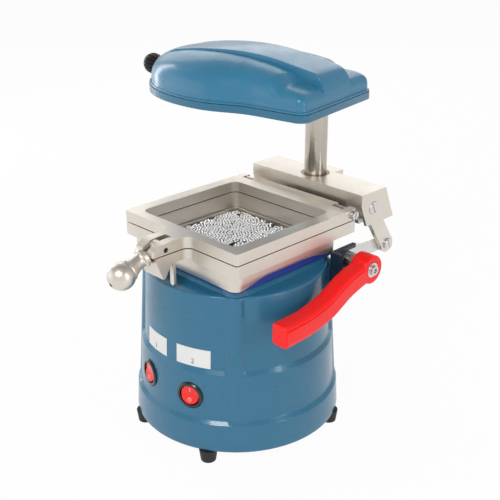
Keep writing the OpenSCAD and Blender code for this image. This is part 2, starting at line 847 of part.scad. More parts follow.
module crank_arm() {
    color([0.80, 0.79, 0.80])
    difference() {
        union() {
            rod_x(shaft_p, 6.6, crank_x, crank_x + 4.5);
            rod_x(crank_p, 6.6, crank_x, crank_x + 4.5);
            translate([crank_x, shaft_p[1], shaft_p[2]]) rotate([crank_tilt, 0, 0])
                translate([0, 0, -6.56]) cube([4.5, crank_len, 13.12]);
        }
        rod_x(shaft_p, 5.02, crank_x - 7, crank_x + 13);
        rod_x(crank_p, 3.02, crank_x - 7, crank_x + 13);
    }
}

lever_pts = [[7.55, -7, -2, -14], [9.4, -32, -6.8, -16], [11.9, -58, -16.6, -19], [13.1, -82, -20, -3],
    [14, -111, -20, 0]];

module lever_station(i) {
    q = lever_pts[i];
    translate([hub_x + q[0], shaft_p[1] + q[1], shaft_p[2] + q[2]]) rotate([90 - q[3], 0, 0])
        linear_extrude(0.2) offset(r = 3, $fn = 24) square([9.5, 12.6], center = true);
}

module red_lever() {
    color([0.90, 0.16, 0.14])
    difference() {
        union() {
            for (i = [0:3])
                hull() {
                    lever_station(i);
                    lever_station(i + 1);
                }
            rod_x(shaft_p, 12.4, hub_x, hub_x + 15.3);
        }
        rod_x(shaft_p, 5.02, hub_x - 11.3, hub_x + 10.7);
        rod_x(shaft_p, 2.6, hub_x + 8.7, hub_x + 18.7);
        rod_x(shaft_p, 6.7, hub_x + 14.1, hub_x + 18.7);
    }
}

module lever_bolt() {
    color([0.83, 0.84, 0.86])
    translate([hub_x + 14.1, shaft_p[1], shaft_p[2]]) rotate([0, 90, 0])
        difference() {
            union() {
                cylinder(r = 6.5, h = 1.3);
                translate([0, 0, 1.3]) cylinder(r = 4.2, h = 2.6);
                translate([0, 0, -16]) cylinder(r = 2.48, h = 16.5);
            }
            translate([0, 0, 1.8]) cylinder(r = 2.4, h = 4, $fn = 6);
        }
}

module crank_screw() {
    color([0.78, 0.76, 0.72])
    translate([link_x + 5.1, crank_p[1], crank_p[2]]) rotate([0, 90, 0]) rotate([0, 0, 20])
        slot_screw(5, 2, 2.98, 10.5);
}

module lift_link() {
    color([0.74, 0.72, 0.74])
    translate([link_x, crank_p[1], crank_p[2]]) rotate([link_tilt, 0, 0])
        difference() {
            union() {
                rod_x([0, 0, 0], 8, 0, 5);
                rod_x([0, 0, link_len], 8, 0, 5);
                translate([0, -7.5, 0]) cube([5, 15, link_len]);
            }
            rod_x([0, 0, 0], 3.05, -5, 10);
            rod_x([0, 0, link_len], 5.1, -5, 10);
        }
}

// Heater head

function ease(a, b, t) = a + (b - a) * (0.5 - 0.5 * cos(180 * min(max(t, 0), 1)));

function half_w(y) = y < lobe_y + 53 ? ease(head_r, waist_w, (y - lobe_y) / 53)
    : ease(waist_w, rear_w, (y - lobe_y - 53) / 31);

// Half of the head's outline: an elliptic nose, a waist, a rounded rear corner
side = concat([for (t = [0:6:84]) [head_r * sin(t), lobe_y - nose_l * cos(t)]],
    [for (y = [lobe_y:6:rear_y - 9]) [half_w(y), y]],
    [for (t = [0:18:90]) [rear_w - 9 + 9 * cos(t), rear_y - 9 + 9 * sin(t)]]);
outline = concat(side, [for (i = [len(side) - 1:-1:1]) [-side[i][0], side[i][1]]]);
on = len(outline);

function along(i) = outline[(i + 1) % on] - outline[(i + on - 1) % on];
function grown(i, d) = outline[i] + d * [along(i)[1], -along(i)[0]] / norm(along(i));

module plan(off) {
    polygon([for (i = [0:on - 1]) grown(i, off)]);
}

module head_tray() {
    color([0.27, 0.46, 0.57])
    head_pose()
    difference() {
        union() {
            difference() {
                translate([0, 0, head_z]) linear_extrude(6.4) plan(0);
                translate([0, 0, head_z + 2.5]) linear_extrude(8.5) plan(-4);
            }
            intersection() {
                translate([0, 0, head_z]) cylinder(r = 26, h = 5);
                translate([0, 0, head_z]) linear_extrude(5) plan(-1);
            }
        }
        translate([0, 0, head_z - 1]) cylinder(r = col_r + 0.6, h = 20);
        translate([0, heat_y, head_z - 1]) cylinder(r = heat_r, h = 20, $fn = 96);
        for (p = cover_pos)
            translate([p[0], p[1], head_z - 1]) cylinder(r = 1.9, h = 10);
        for (a = [30, 150, 270])
            polar(a, hub_screw_r, head_z - 1) cylinder(r = 1.98, h = 10);
    }
}

cover_pos = [[rear_w - 12.4, 12], [12.4 - rear_w, 12], [head_r - 14, -62], [14 - head_r, -62],
    [34, lobe_y - nose_l + 28.2], [-34, lobe_y - nose_l + 28.2]];

// Height of the raised spine, and of the cover beside it, above the lip
function spine_h(y) = 36.5 - (y < -72 ? 0.0013 : 0.0019) * pow(y + 72, 2);
function cover_h(x, y) = ease(min(35.9, spine_h(max(y, -72)) - 0.6), 18.8,
    (y + 14 + 0.5 * (abs(x) - spine_w)) / 16);

rings = [1, 0.996, 0.983, 0.96, 0.93, 0.89, 0.84, 0.79, 0.74, 0.69, 0.64, 0.58, 0.5, 0.4, 0.25];

function dome_pt(i, s, d) =
    let (o = grown(i, d), x = s * o[0], y = lobe_y + s * (o[1] - lobe_y),
        p = ease(2.8, 5, (o[1] + 60) / 60))
    [x, y, s == 1 ? min(d + 3.2, 0) : (cover_h(x, y) + min(d + 2.2, 0)) * pow(1 - pow(s, p), 1 / p)];

module dome(d) {
    m = len(rings);
    translate([0, 0, lip_z])
        polyhedron(
            concat([for (s = rings) for (i = [0:on - 1]) dome_pt(i, s, d)],
                [[0, lobe_y, cover_h(0, lobe_y) + min(d + 2.2, 0)]]),
            concat([[for (i = [0:on - 1]) i]],
                [for (k = [0:m - 2]) for (i = [0:on - 1])
                    [k * on + i, (k + 1) * on + i, (k + 1) * on + (i + 1) % on]],
                [for (k = [0:m - 2]) for (i = [0:on - 1])
                    [k * on + i, (k + 1) * on + (i + 1) % on, k * on + (i + 1) % on]],
                [for (i = [0:on - 1]) [(m - 1) * on + i, m * on, (m - 1) * on + (i + 1) % on]]));
}

module spine(t) {
    translate([t - spine_w, 0, lip_z])
        rotate([90, 0, 90])
            linear_extrude(2 * (spine_w - t))
                polygon(concat([[-154 + t, -t], [-154 + t, 22 - t], [-147, 27.6 - t]],
                    [for (y = [-140:7:0]) [y, spine_h(y) - t]],
                    [[8 - t / 2, 24.3 - t], [14.6 - t, 21.4 - t], [18.8 - t, 17.8 - t], [21.4 - t, 13 - t],
                    [22.5 - t, 7], [22.8 - t, -t]]));
}

module head_cover() {
    color([0.34, 0.55, 0.67])
    head_pose()
    difference() {
        union() {
            difference() {
                union() {
                    dome(-2.2);
                    spine(0);
                    translate([0, 0, head_z + 6.42]) linear_extrude(0.5) plan(-1.3);
                    translate([0, 0, head_z + 6.9]) linear_extrude(1.7) plan(-0.4);
                }
                dome(-5.2);
                spine(3);
                translate([0, 0, head_z + 6]) linear_extrude(3) plan(-5.2);
            }
            intersection() {
                union() {
                    dome(-3.2);
                    translate([0, 0, head_z + 2.55]) linear_extrude(7) plan(-4.3);
                }
                union() {
                    for (p = cover_pos)
                        translate([p[0], p[1], head_z + 2.55]) cylinder(r = 3.6, h = 40);
                    translate([0, knob_y + 19.5, knob_z]) rotate([90, 0, 0]) cylinder(r = 7, h = 12);
                }
            }
        }
        for (p = cover_pos)
            translate([p[0], p[1], head_z]) cylinder(r = 1.7, h = 18);
        translate([0, knob_y + 60, knob_z]) rotate([90, 0, 0]) cylinder(r = 3.05, h = 60);
    }
}

// Inside the head

module head_hub() {
    color([0.62, 0.63, 0.65])
    head_pose()
    difference() {
        union() {
            translate([0, 0, hub_z]) cylinder(r = 20.8, h = 5);
            translate([0, 0, hub_z]) cylinder(r = 13.2, h = 9);
        }
        translate([-30, rear_y - 5.7, hub_z - 1]) cube([60, 20, 20]);
        translate([0, 0, hub_z - 6]) cylinder(r = 7.06, h = 30);
        translate([0, 0, hub_z - 1]) cylinder(r = col_r + 0.6, h = 2.05);
        for (a = [30, 150, 270])
            polar(a, hub_screw_r, hub_z - 6) cylinder(r = 2.05, h = 20);
    }
}

module head_screws() {
    color([0.75, 0.76, 0.78])
    head_pose() {
        for (a = [30, 150, 270])
            polar(a, hub_screw_r, hub_z + 5) pan_screw(3.6, 2.4, 1.95, 8);
        for (p = cover_pos)
            translate([p[0], p[1], head_z]) rotate([180, 0, 0]) pan_screw(3.2, 1.6, 1.66, 15);
    }
}

module reflector() {
    color([0.86, 0.86, 0.87])
    head_pose() translate([0, heat_y, head_z + 2.55])
        rotate_extrude($fn = 96)
            polygon([[heat_r + 2, 0], [heat_r + 2, 1], [heat_r - 1, 1], [heat_r - 4, 5],
                [heat_r - 5.5, 17.5], [heat_r - 10, 19.2], [7, 19.2], [7, 18.2], [heat_r - 10.4, 18.2],
                [heat_r - 6.4, 16.8], [heat_r - 5, 4.6], [heat_r - 1.5, 0]]);
}

module heater_plate() {
    color([0.90, 0.88, 0.82])
    head_pose() translate([0, heat_y, 0])
        difference() {
            union() {
                translate([0, 0, coil_z]) cylinder(r = heat_r - 11, h = 8);
                for (a = [0, 120, 240])
                    polar(a, 30, coil_z + 7) cylinder(r = 4, h = 6.73);
            }
            for (r = coil_rings)
                translate([0, 0, coil_z]) rotate_extrude($fn = 96)
                    translate([r, 0]) circle(r = 1.66, $fn = 24);
        }
}

module heater_coil() {
    color([0.75, 0.30, 0.14])
    head_pose() translate([0, heat_y, coil_z])
        for (r = coil_rings)
            rotate_extrude($fn = 96) translate([r, 0]) circle(r = 1.6, $fn = 24);
}

function bar_half(d) = sqrt(pow(heat_r - 1.4, 2) - d * d);

module heater_guard() {
    color([0.72, 0.73, 0.75])
    head_pose() translate([0, heat_y, head_z + 1.35]) {
        difference() {
            translate([0, 0, -0.9]) cylinder(r = heat_r - 0.05, h = 1.8, $fn = 96);
            translate([0, 0, -2]) cylinder(r = heat_r - 2, h = 4, $fn = 96);
        }
        for (i = [-2:2])
            translate([i * 18, 0, 0]) rotate([90, 0, 0])
                translate([0, 0, -bar_half(i * 18)])
                    cylinder(r = 0.8, h = 2 * bar_half(i * 18), $fn = 16);
        for (i = [-1:1])
            translate([0, i * 27, 0]) rotate([0, 90, 0])
                translate([0, 0, -bar_half(i * 27)])
                    cylinder(r = 0.8, h = 2 * bar_half(i * 27), $fn = 16);
    }
}

module head_knob() {
    color([0.10, 0.10, 0.11])
    head_pose() translate([0, knob_y, knob_z]) rotate([90, 0, 0]) {
        difference() {
            union() {
                intersection() {
                    sphere(r = 10, $fn = 64);
                    translate([0, 0, -8]) cylinder(r = 20, h = 30);
                }
                translate([0, 0, -12.4]) cylinder(r = 6, h = 7);
            }
            for (a = [0:20:340])
                rotate([0, 0, a]) translate([10.8, 0, -20]) cylinder(r = 1.3, h = 40, $fn = 16);
            translate([0, 0, -40]) cylinder(r = 3, h = 38);
        }
        translate([0, 0, -28]) cylinder(r = 2.95, h = 25.9);
        translate([0, 0, -22.6])
            difference() {
                cylinder(r = 5, h = 3, $fn = 6);
                translate([0, 0, -1]) cylinder(r = 2.97, h = 6);
            }
    }
}

// What is drawn

base_housing();
bottom_plate();
rubber_feet();
m4_screws();
motor_shelf();
standoffs();
motor_can();
stator();
bearings();
fan_bowl();
fan_lid();
seal_ring();
switch_body_left();
switch_body_right();
front_plates();
power_inlet();
inlet_pins();
blue_gasket();
shot_tray();
suction_plate();
steel_shot();
column();
column_screws();
thrust_washer();
column_nut();
lever_bracket();
shaft_bush();
rotor();
impeller();
rocker_left();
rocker_right();
carriage_block();
column_bushes();
link_screw();
clamp_screw();
frame_screws();
lower_frame();
skirt();
clamp_gasket();
hinge_screws();
guide_tongue();
upper_frame();
lock_pin();
swing_bolt();
lock_knob();
lever_shaft();
crank_arm();
red_lever();
lever_bolt();
crank_screw();
lift_link();
head_tray();
head_cover();
head_hub();
head_screws();
reflector();
heater_plate();
heater_coil();
heater_guard();
head_knob();
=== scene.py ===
import json
import math

import bmesh
import bpy
import numpy as np
from mathutils import Matrix, Vector


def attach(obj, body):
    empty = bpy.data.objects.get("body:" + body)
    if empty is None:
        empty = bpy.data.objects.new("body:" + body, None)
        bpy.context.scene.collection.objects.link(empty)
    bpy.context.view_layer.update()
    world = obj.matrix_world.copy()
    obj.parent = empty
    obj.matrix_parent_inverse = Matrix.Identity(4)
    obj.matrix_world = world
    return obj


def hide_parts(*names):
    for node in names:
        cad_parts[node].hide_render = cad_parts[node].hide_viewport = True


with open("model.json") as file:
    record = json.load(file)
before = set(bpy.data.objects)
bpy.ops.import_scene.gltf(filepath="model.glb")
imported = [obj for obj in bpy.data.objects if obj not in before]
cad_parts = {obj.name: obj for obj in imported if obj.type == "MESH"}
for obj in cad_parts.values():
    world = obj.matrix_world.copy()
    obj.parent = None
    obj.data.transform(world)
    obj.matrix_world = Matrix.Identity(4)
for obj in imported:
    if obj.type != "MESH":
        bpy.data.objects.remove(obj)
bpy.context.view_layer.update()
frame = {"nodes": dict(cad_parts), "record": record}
print("stage 1: frame loaded,", len(frame["nodes"]), "nodes")

mm = 0.001


def linked(name, data):
    # an object in the scene that shows the data
    obj = bpy.data.objects.new(name, data)
    bpy.context.scene.collection.objects.link(obj)
    return obj


def moved(x, y, z):
    # a shift in mm
    return Matrix.Translation((x * mm, y * mm, z * mm))


def turned(degrees, axis):
    # a turn about an axis through the origin
    return Matrix.Rotation(math.radians(degrees), 4, axis)


# Camera

camera = {
    "place": (0.5043, -0.4828, 0.4537),
    "azimuth": 45.3,  # degrees round from the front, towards +X
    "elevation": 23.2,
    "roll": -0.1,
    "lens": 64.34,  # on a 36 mm sensor
}


def makeCamera(c):
    # looks along azimuth and elevation from its place, then rolls about that line
    az, el = math.radians(c["azimuth"]), math.radians(c["elevation"])
    forward = Vector((-math.sin(az) * math.cos(el), math.cos(az) * math.cos(el), -math.sin(el)))
    data = bpy.data.cameras.new("viewCamera")
    data.lens, data.sensor_width = c["lens"], 36
    data.clip_start, data.clip_end = 0.02, 20
    obj = linked("viewCamera", data)
    aim = forward.to_track_quat("-Z", "Y").to_matrix().to_4x4()
    obj.matrix_world = Matrix.Translation(c["place"]) @ aim @ turned(c["roll"], "Z")
    bpy.context.scene.camera = obj


makeCamera(camera)

# Floor, world and lamps

studio = {
    "floor": (0.90, 0.90, 0.90), "floorSize": 30,
    "floorWhite": 0.95,  # share of plain white where the camera or a mirror looks at the floor
    "zenith": 0.42, "horizon": 0.81,  # the room's brightness straight up and at eye level
    "fadeFrom": 0.25, "fadeTo": 0.9,  # sines of the heights between which the one turns into the other
    "aim": (0, 0, 0.15),
    "lamps": [  # name, place, width, height, watts
        ("backSoftbox", (-1.05, 1.05, 0.92), 1.7, 0.8, 5.5),
        ("keySoftbox", (0.48, -1.05, 1.15), 0.50, 0.26, 9.0),
        ("leftStrip", (-1.20, 0.02, 0.45), 0.18, 0.9, 3.0),
        ("frontFill", (-1.00, -1.00, 0.40), 1.3, 0.8, 2.6),
        ("rightStrip", (1.20, 0.10, 0.50), 0.14, 0.8, 3.0),
    ],
}


def emptyNodes(owner):
    # the cleared node list of a material or world
    owner.use_nodes = True
    owner.node_tree.nodes.clear()
    return owner.node_tree.nodes


def shaderNode(nodes, kind, inputs=(), **settings):
    # a node with its settings, and each named input set to a value or linked from another node's output
    node = nodes.new("ShaderNode" + kind)
    for key, value in settings.items():
        setattr(node, key, value)
    for key, value in dict(inputs).items():
        if isinstance(value, bpy.types.NodeSocket):
            node.id_data.links.new(value, node.inputs[key])
        else:
            node.inputs[key].default_value = value
    return node


def whiteForCamera(n, colour, white):
    # the surface's own colour for light, and plain white where the camera or a mirror looks at it
    diffuse = shaderNode(n, "BsdfDiffuse", {"Color": (*colour, 1)})
    glow = shaderNode(n, "Emission", {"Color": (1, 1, 1, 1), "Strength": 1.0})
    ray = shaderNode(n, "LightPath").outputs
    both = shaderNode(n, "Math", {0: ray["Is Camera Ray"], 1: ray["Is Glossy Ray"]}, operation="MAXIMUM")
    share = shaderNode(n, "Math", {0: both.outputs[0], 1: white}, operation="MULTIPLY")
    mix = shaderNode(n, "MixShader", {0: share.outputs[0], 1: diffuse.outputs[0], 2: glow.outputs[0]})
    shaderNode(n, "OutputMaterial", {0: mix.outputs[0]})


def makeStudio(s):
    # a wide floor, a room brightest at eye level and white to the camera, and soft lamps aimed at the part
    bpy.ops.mesh.primitive_plane_add(size=s["floorSize"])
    floor = bpy.context.object
    floor.name = "floor"
    m = bpy.data.materials.new("floorPaint")
    whiteForCamera(emptyNodes(m), s["floor"], s["floorWhite"])
    floor.data.materials.append(m)
    bpy.context.scene.world = bpy.data.worlds.new("studioWorld")
    n = emptyNodes(bpy.context.scene.world)
    split = shaderNode(n, "SeparateXYZ", {0: shaderNode(n, "TexCoord").outputs["Generated"]})
    level = shaderNode(n, "MapRange", {
        "Value": split.outputs["Z"], "From Min": s["fadeFrom"], "From Max": s["fadeTo"],
        "To Min": s["horizon"], "To Max": s["zenith"]})
    soft = shaderNode(n, "Background", {"Strength": level.outputs["Result"]})
    plain = shaderNode(n, "Background", {"Color": (1, 1, 1, 1), "Strength": 1.0})
    mix = shaderNode(n, "MixShader", {
        0: shaderNode(n, "LightPath").outputs["Is Camera Ray"], 1: soft.outputs[0], 2: plain.outputs[0]})
    shaderNode(n, "OutputWorld", {0: mix.outputs[0]})
    for name, place, width, height, watts in s["lamps"]:
        lamp = bpy.data.lights.new(name, "AREA")
        lamp.shape, lamp.size, lamp.size_y, lamp.energy = "RECTANGLE", width, height, watts
        obj = linked(name, lamp)
        obj.location = place
        obj.rotation_mode = "QUATERNION"
        obj.rotation_quaternion = (Vector(s["aim"]) - Vector(place)).to_track_quat("-Z", "Y")
    bpy.context.scene.view_settings.view_transform = "Standard"


makeStudio(studio)
print("stage 2: camera and studio")

# Materials


def newMaterial(name, makeInputs):
    # one shader whose inputs come from a function of the node list and the object's own coordinates
    m = bpy.data.materials.new(name)
    n = emptyNodes(m)
    inputs = makeInputs(n, shaderNode(n, "TexCoord").outputs["Object"])
    shaderNode(n, "OutputMaterial", {0: shaderNode(n, "BsdfPrincipled", inputs).outputs[0]})
    return m


def noise(n, coords, scale, detail=4.0, stretch=(1, 1, 1)):
    # three-dimensional noise, drawn out along one axis by a mapping's scale
    mapping = shaderNode(n, "Mapping", {"Scale": stretch, "Vector": coords})
    tex = shaderNode(n, "TexNoise", {"Scale": scale, "Detail": detail, "Vector": mapping.outputs[0]})
    return tex.outputs["Fac"]


def spread(n, source, low, high, start=0.3, end=0.7):
    # carries a value from the range start..end to the range low..high
    return shaderNode(n, "MapRange", {
        "Value": source, "From Min": start, "From Max": end, "To Min": low, "To Max": high}).outputs["Result"]


def blendColours(n, source, a, b):
    # colour a where the value is 0, b where it is 1
    inputs = {"A": (*a, 1), "B": (*b, 1), "Factor": source}
    return shaderNode(n, "Mix", inputs, data_type="RGBA").outputs["Result"]


def bump(n, source, distance):
    # surface directions from a value that stands for a height of up to the distance in metres
    return shaderNode(n, "Bump", {"Distance": distance, "Strength": 1.0, "Height": source}).outputs[0]


paint = {"driftScale": 14, "roughScale": 60, "rougher": (0.85, 1.2), "reflection": 0.4, "coatRoughness": 0.08}
alloy = {"patchScale": 22, "rougher": (0.75, 1.3)}
balls = {"roughScale": 500, "roughness": (0.18, 0.28), "metallic": 0.4}
ribbed = {"roughScale": 400, "rougher": (0.85, 1.2), "reflection": 0.3}


def variedRoughness(n, source, rough, share):
    # the roughness times a share that varies with the value between two limits
    return spread(n, source, rough * share[0], rough * share[1])


def coated(name, dark, light, rough, coat, grain, grainDepth):
    # paint or moulded plastic: two close shades drifting slowly, a fine skin, and a clear coat
    return newMaterial(name, lambda n, at: {
        "Base Color": blendColours(n, spread(n, noise(n, at, paint["driftScale"], 3), 0, 1), dark, light),
        "Roughness": variedRoughness(n, noise(n, at, paint["roughScale"], 4), rough, paint["rougher"]),
        "Normal": bump(n, noise(n, at, grain, 2), grainDepth), "Coat Weight": coat,
        "Specular IOR Level": paint["reflection"], "Coat Roughness": paint["coatRoughness"]})


def metal(name, dark, light, rough, stretch, lineScale, lineDepth):
    # worked metal: fine lines along one axis set the roughness and a slight relief, patches the shade
    def makeInputs(n, at):
        lines = noise(n, at, lineScale, 6, stretch)
        patches = spread(n, noise(n, at, alloy["patchScale"], 4), 0, 1)
        return {"Base Color": blendColours(n, patches, dark, light), "Normal": bump(n, lines, lineDepth),
                "Roughness": variedRoughness(n, lines, rough, alloy["rougher"]), "Metallic": 1.0}
    return newMaterial(name, makeInputs)


def shotMetalPaintedShade(name, low, high, dark, bright):
    # polished balls painted darker low down and brighter on top, as painted shade for the dark gaps between
    # loose balls
    def makeInputs(n, at):
        height = shaderNode(n, "SeparateXYZ", {0: at}).outputs["Z"]
        return {"Base Color": blendColours(n, spread(n, height, 0, 1, dark, bright), low, high),
                "Roughness": spread(n, noise(n, at, balls["roughScale"], 3), *balls["roughness"]),
                "Metallic": balls["metallic"]}
    return newMaterial(name, makeInputs)


def fluted(name, dark, light, rough, place, along, count, depth):
    # moulded plastic with grooves along an axis: a wave of the angle round it sets the relief, and paints the
    # grooves darker and the ridges lighter as painted shade
    facing = Vector(along).to_track_quat("Z", "Y").to_euler()

    def makeInputs(n, at):
        turn = shaderNode(n, "Mapping", {"Location": place, "Rotation": facing, "Vector": at},
                          vector_type="TEXTURE")
        angle = shaderNode(n, "TexGradient", {"Vector": turn.outputs[0]}, gradient_type="RADIAL")
        times = shaderNode(n, "Math", {0: angle.outputs["Fac"], 1: 2 * math.pi * count}, operation="MULTIPLY")
        wave = shaderNode(n, "Math", {0: times.outputs[0]}, operation="COSINE")
        height = spread(n, wave.outputs[0], 0, 1, -1, 1)
        grain = noise(n, at, ribbed["roughScale"], 3)
        return {"Base Color": blendColours(n, height, dark, light), "Normal": bump(n, height, depth),
                "Roughness": variedRoughness(n, grain, rough, ribbed["rougher"]),
                "Specular IOR Level": ribbed["reflection"]}
    return newMaterial(name, makeInputs)


materials = {
    # two shades, roughness, coat, grain, depth of the grain in metres
    "blue_paint": coated("bodyEnamel", (0.021, 0.144, 0.252), (0.027, 0.156, 0.270), 0.28, 0.28, 300, 2e-7),
    "blue_cover": coated("headEnamel", (0.030, 0.184, 0.318), (0.036, 0.197, 0.338), 0.30, 0.18, 300, 2e-7),
    "black_rubber": coated("footRubber", (0.012, 0.012, 0.013), (0.020, 0.020, 0.021), 0.62, 0, 2500, 1.2e-5),
    "gasket_blue": coated("spongeBlue", (0.012, 0.036, 0.26), (0.018, 0.046, 0.31), 0.42, 0.15, 1800, 1.5e-5),
    "lever_red": coated("leverRed", (0.98, 0.002, 0.001), (1.0, 0.006, 0.004), 0.38, 0.05, 400, 6e-7),
    "rocker_red": coated("rockerRed", (0.86, 0.004, 0.003), (0.92, 0.010, 0.006), 0.16, 0.3, 400, 4e-7),
    "switch_black": coated("switchBlack", (0.010, 0.010, 0.012), (0.014, 0.014, 0.016), 0.28, 0.3, 1400,
                           4e-6),
    "black_plastic": coated("knobBlack", (0.006, 0.006, 0.007), (0.011, 0.011, 0.012), 0.36, 0.1, 1600, 4e-6),
    "white_plate": coated("plateWhite", (0.74, 0.74, 0.73), (0.80, 0.80, 0.79), 0.42, 0.1, 800, 3e-6),
    "printed_grey": coated("plateInk", (0.10, 0.10, 0.11), (0.14, 0.14, 0.15), 0.5, 0, 900, 1e-6),
    "printed_white": coated("rockerInk", (0.78, 0.36, 0.33), (0.84, 0.42, 0.39), 0.45, 0, 900, 1e-6),
    # painted shade: the body's blue paint darkened to navy for the bracket, which sits in shadow
    "navy_paint": coated("bracketBluePaintedShade", (0.012, 0.026, 0.048), (0.016, 0.032, 0.058), 0.36, 0.3, 900, 5e-6),
    "ceramic": coated("plateCeramic", (0.62, 0.57, 0.47), (0.70, 0.66, 0.56), 0.70, 0, 1200, 2e-5),
    "element": coated("heatingWire", (0.20, 0.06, 0.03), (0.28, 0.09, 0.04), 0.60, 0, 1800, 1e-5),
    # two shades, roughness, stretch of the lines, their scale and depth
    "brushed_alloy": metal("brushedNickel", (0.69, 0.64, 0.57), (0.76, 0.71, 0.64), 0.39, (1, 14, 14), 300,
                           3e-6),
    "steel_column": metal("groundSteel", (0.45, 0.41, 0.36), (0.55, 0.51, 0.45), 0.20, (1, 1, 40), 120, 2e-6),
    "bright_steel": metal("platedSteel", (0.62, 0.61, 0.60), (0.70, 0.69, 0.68), 0.26, (1, 1, 1), 400, 3e-6),
    "sheet_steel": metal("sheetSteel", (0.50, 0.51, 0.52), (0.58, 0.59, 0.60), 0.38, (1, 12, 1), 260, 4e-6),
    "bronze": metal("sinteredBronze", (0.30, 0.24, 0.17), (0.38, 0.31, 0.22), 0.42, (1, 1, 1), 900, 1e-5),
    "copper_winding": metal("windingCopper", (0.42, 0.17, 0.08), (0.55, 0.24, 0.12), 0.40, (1, 1, 30), 200,
                            3e-5),
    "fan_alloy": metal("fanSheet", (0.62, 0.63, 0.64), (0.70, 0.71, 0.72), 0.34, (1, 1, 1), 300, 4e-6),
    "bright_reflector": metal("reflectorSheet", (0.74, 0.74, 0.75), (0.82, 0.82, 0.83), 0.12, (1, 1, 1), 120,
                              6e-6),
    # painted shade: the lock pin is painted near black for the shadow inside the ears' holes
    "pin_painted_shade": metal("pinPaintedShade", (0.03, 0.03, 0.03), (0.06, 0.06, 0.06), 0.50, (1, 1, 1), 500, 2e-6),
    # painted shade: the lower layer of balls takes a dark copy of the steel, for the shadow under the top
    # layer
    "shot_painted_shade": metal("shotBelowPaintedShade", (0.05, 0.05, 0.055), (0.12, 0.12, 0.13), 0.40, (1, 1, 1), 500, 2e-6),
    # two shades, and the heights in metres between which they blend: painted shade low on each ball, bright
    # on top
    "shot_steel": shotMetalPaintedShade("shotSteelPaintedShade", (0.05, 0.05, 0.052), (0.99, 0.99, 1.0), 0.1617, 0.1630),
    # two shades (the darker painted into the grooves as painted shade), roughness, a place on the axis, its
    # direction, number of grooves and their depth
    "fluted_black": fluted("knobFluted", (0.001, 0.001, 0.001), (0.010, 0.010, 0.011), 0.40,
                           (0, 0.0993, 0.2770), (-0.986, -0.167, 0), 16, 1.2e-3),
}
print("stage 3:", len(materials), "materials")

# Shared mesh tools

slotOf = {s["node"]: s["material_slot"] for s in frame["record"]["subparts"]}
bodyOf = {n: b for b, ns in frame["record"]["behaviour"]["bodies"].items() for n in ns}


def sharpByAngle(mesh, degrees):
    # smooth shading, with every edge whose faces turn by more than the angle kept sharp
    bm = bmesh.new()
    bm.from_mesh(mesh)
    for f in bm.faces:
        f.smooth = True
    for e in bm.edges:
        e.smooth = len(e.link_faces) == 2 and e.calc_face_angle(0) < math.radians(degrees)
    bm.to_mesh(mesh)
    bm.free()


def edgeRound(obj, width, segments=2, degrees=32):
    # a small rounded edge wherever two faces meet at more than the angle
    b = obj.modifiers.new("edgeRound", "BEVEL")
    b.width, b.segments, b.limit_method = width, segments, "ANGLE"
    b.angle_limit = math.radians(degrees)
    b.harden_normals = True
    b.use_clamp_overlap = True


def addPiece(name, mesh, body, slot, replaces=(), finish=None, sharp=0):
    # a finished mesh that moves with its body; its finish is the slot's own unless another is named
    if sharp:
        sharpByAngle(mesh, sharp)
    obj = linked(name, mesh)
    mesh.materials.clear()
    mesh.materials.append(materials[finish or slot])
    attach(obj, body)
    if replaces:
        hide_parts(*replaces)
    return obj


def machined(node, width, segments=2, degrees=32):
    # a merged copy of a CAD node, its flat faces joined again, with rounded edges
    mesh = frame["nodes"][node].data.copy()
    mesh.name = node + "Worked"
    bm = bmesh.new()
    bm.from_mesh(mesh)
    bmesh.ops.remove_doubles(bm, verts=bm.verts, dist=2e-6)
    bmesh.ops.dissolve_limit(bm, angle_limit=math.radians(0.6), verts=bm.verts, edges=bm.edges)
    bm.to_mesh(mesh)
    bm.free()
    obj = addPiece(node + "Worked", mesh, bodyOf[node], slotOf[node], [node], otherFinish.get(node), degrees)
    if width:
        edgeRound(obj, width, segments, degrees)
    return obj


# Pieces that keep their CAD shape

# the lock pin's dark finish is painted shade for its hole, and the knob's grooves are painted darker as
# painted shade
otherFinish = {"lock_pin": "pin_painted_shade", "head_knob": "fluted_black"}

workedEdges = {  # nodes shown as worked copies, by the width in mm of their rounded edges
    0: "column lock_knob head_tray heater_guard reflector heater_coil suction_plate",
    0.2: "lock_pin frame_screws clamp_gasket head_knob switch_body_left switch_body_right bottom_plate",
    0.3: "link_screw crank_screw hinge_screws shot_tray lever_bolt inlet_pins",
    0.35: "rocker_left rocker_right",
    0.4: "column_bushes swing_bolt lever_shaft heater_plate",
    0.5: "lower_frame crank_arm clamp_screw guide_tongue power_inlet",
    0.6: "upper_frame lift_link rubber_feet", 0.7: "carriage_block", 1.2: "blue_gasket",
}


def dressNodes():
    # a worked copy of each listed node, and the plain slot colour on every other one
    widths = {node: width for width, nodes in workedEdges.items() for node in nodes.split()}
    for node in frame["nodes"]:
        if node in widths:
            machined(node, widths[node] * mm)
        else:
            mesh = frame["nodes"][node].data
            mesh.materials.clear()
            mesh.materials.append(materials[slotOf[node]])


dressNodes()
print("stage 4: carried-over pieces")

# Surfaces from numpy grids


def solidMesh(name, verts, faces):
    # one mesh from arrays, turned so that its faces look outward
    a, b, c = verts[faces[:, 0]], verts[faces[:, 1]], verts[faces[:, 2]]
    volume = np.einsum("ij,ij->i", a, np.cross(b, c)).sum()
    if faces.shape[1] == 4:
        d = verts[faces[:, 3]]
        volume += np.einsum("ij,ij->i", a, np.cross(c, d)).sum()
    if volume < 0:
        faces = faces[:, ::-1]
    mesh = bpy.data.meshes.new(name)
    mesh.from_pydata(verts.tolist(), [], faces.tolist())
    mesh.polygons.foreach_set("use_smooth", np.ones(len(faces), dtype=bool))
    mesh.update()
    return mesh


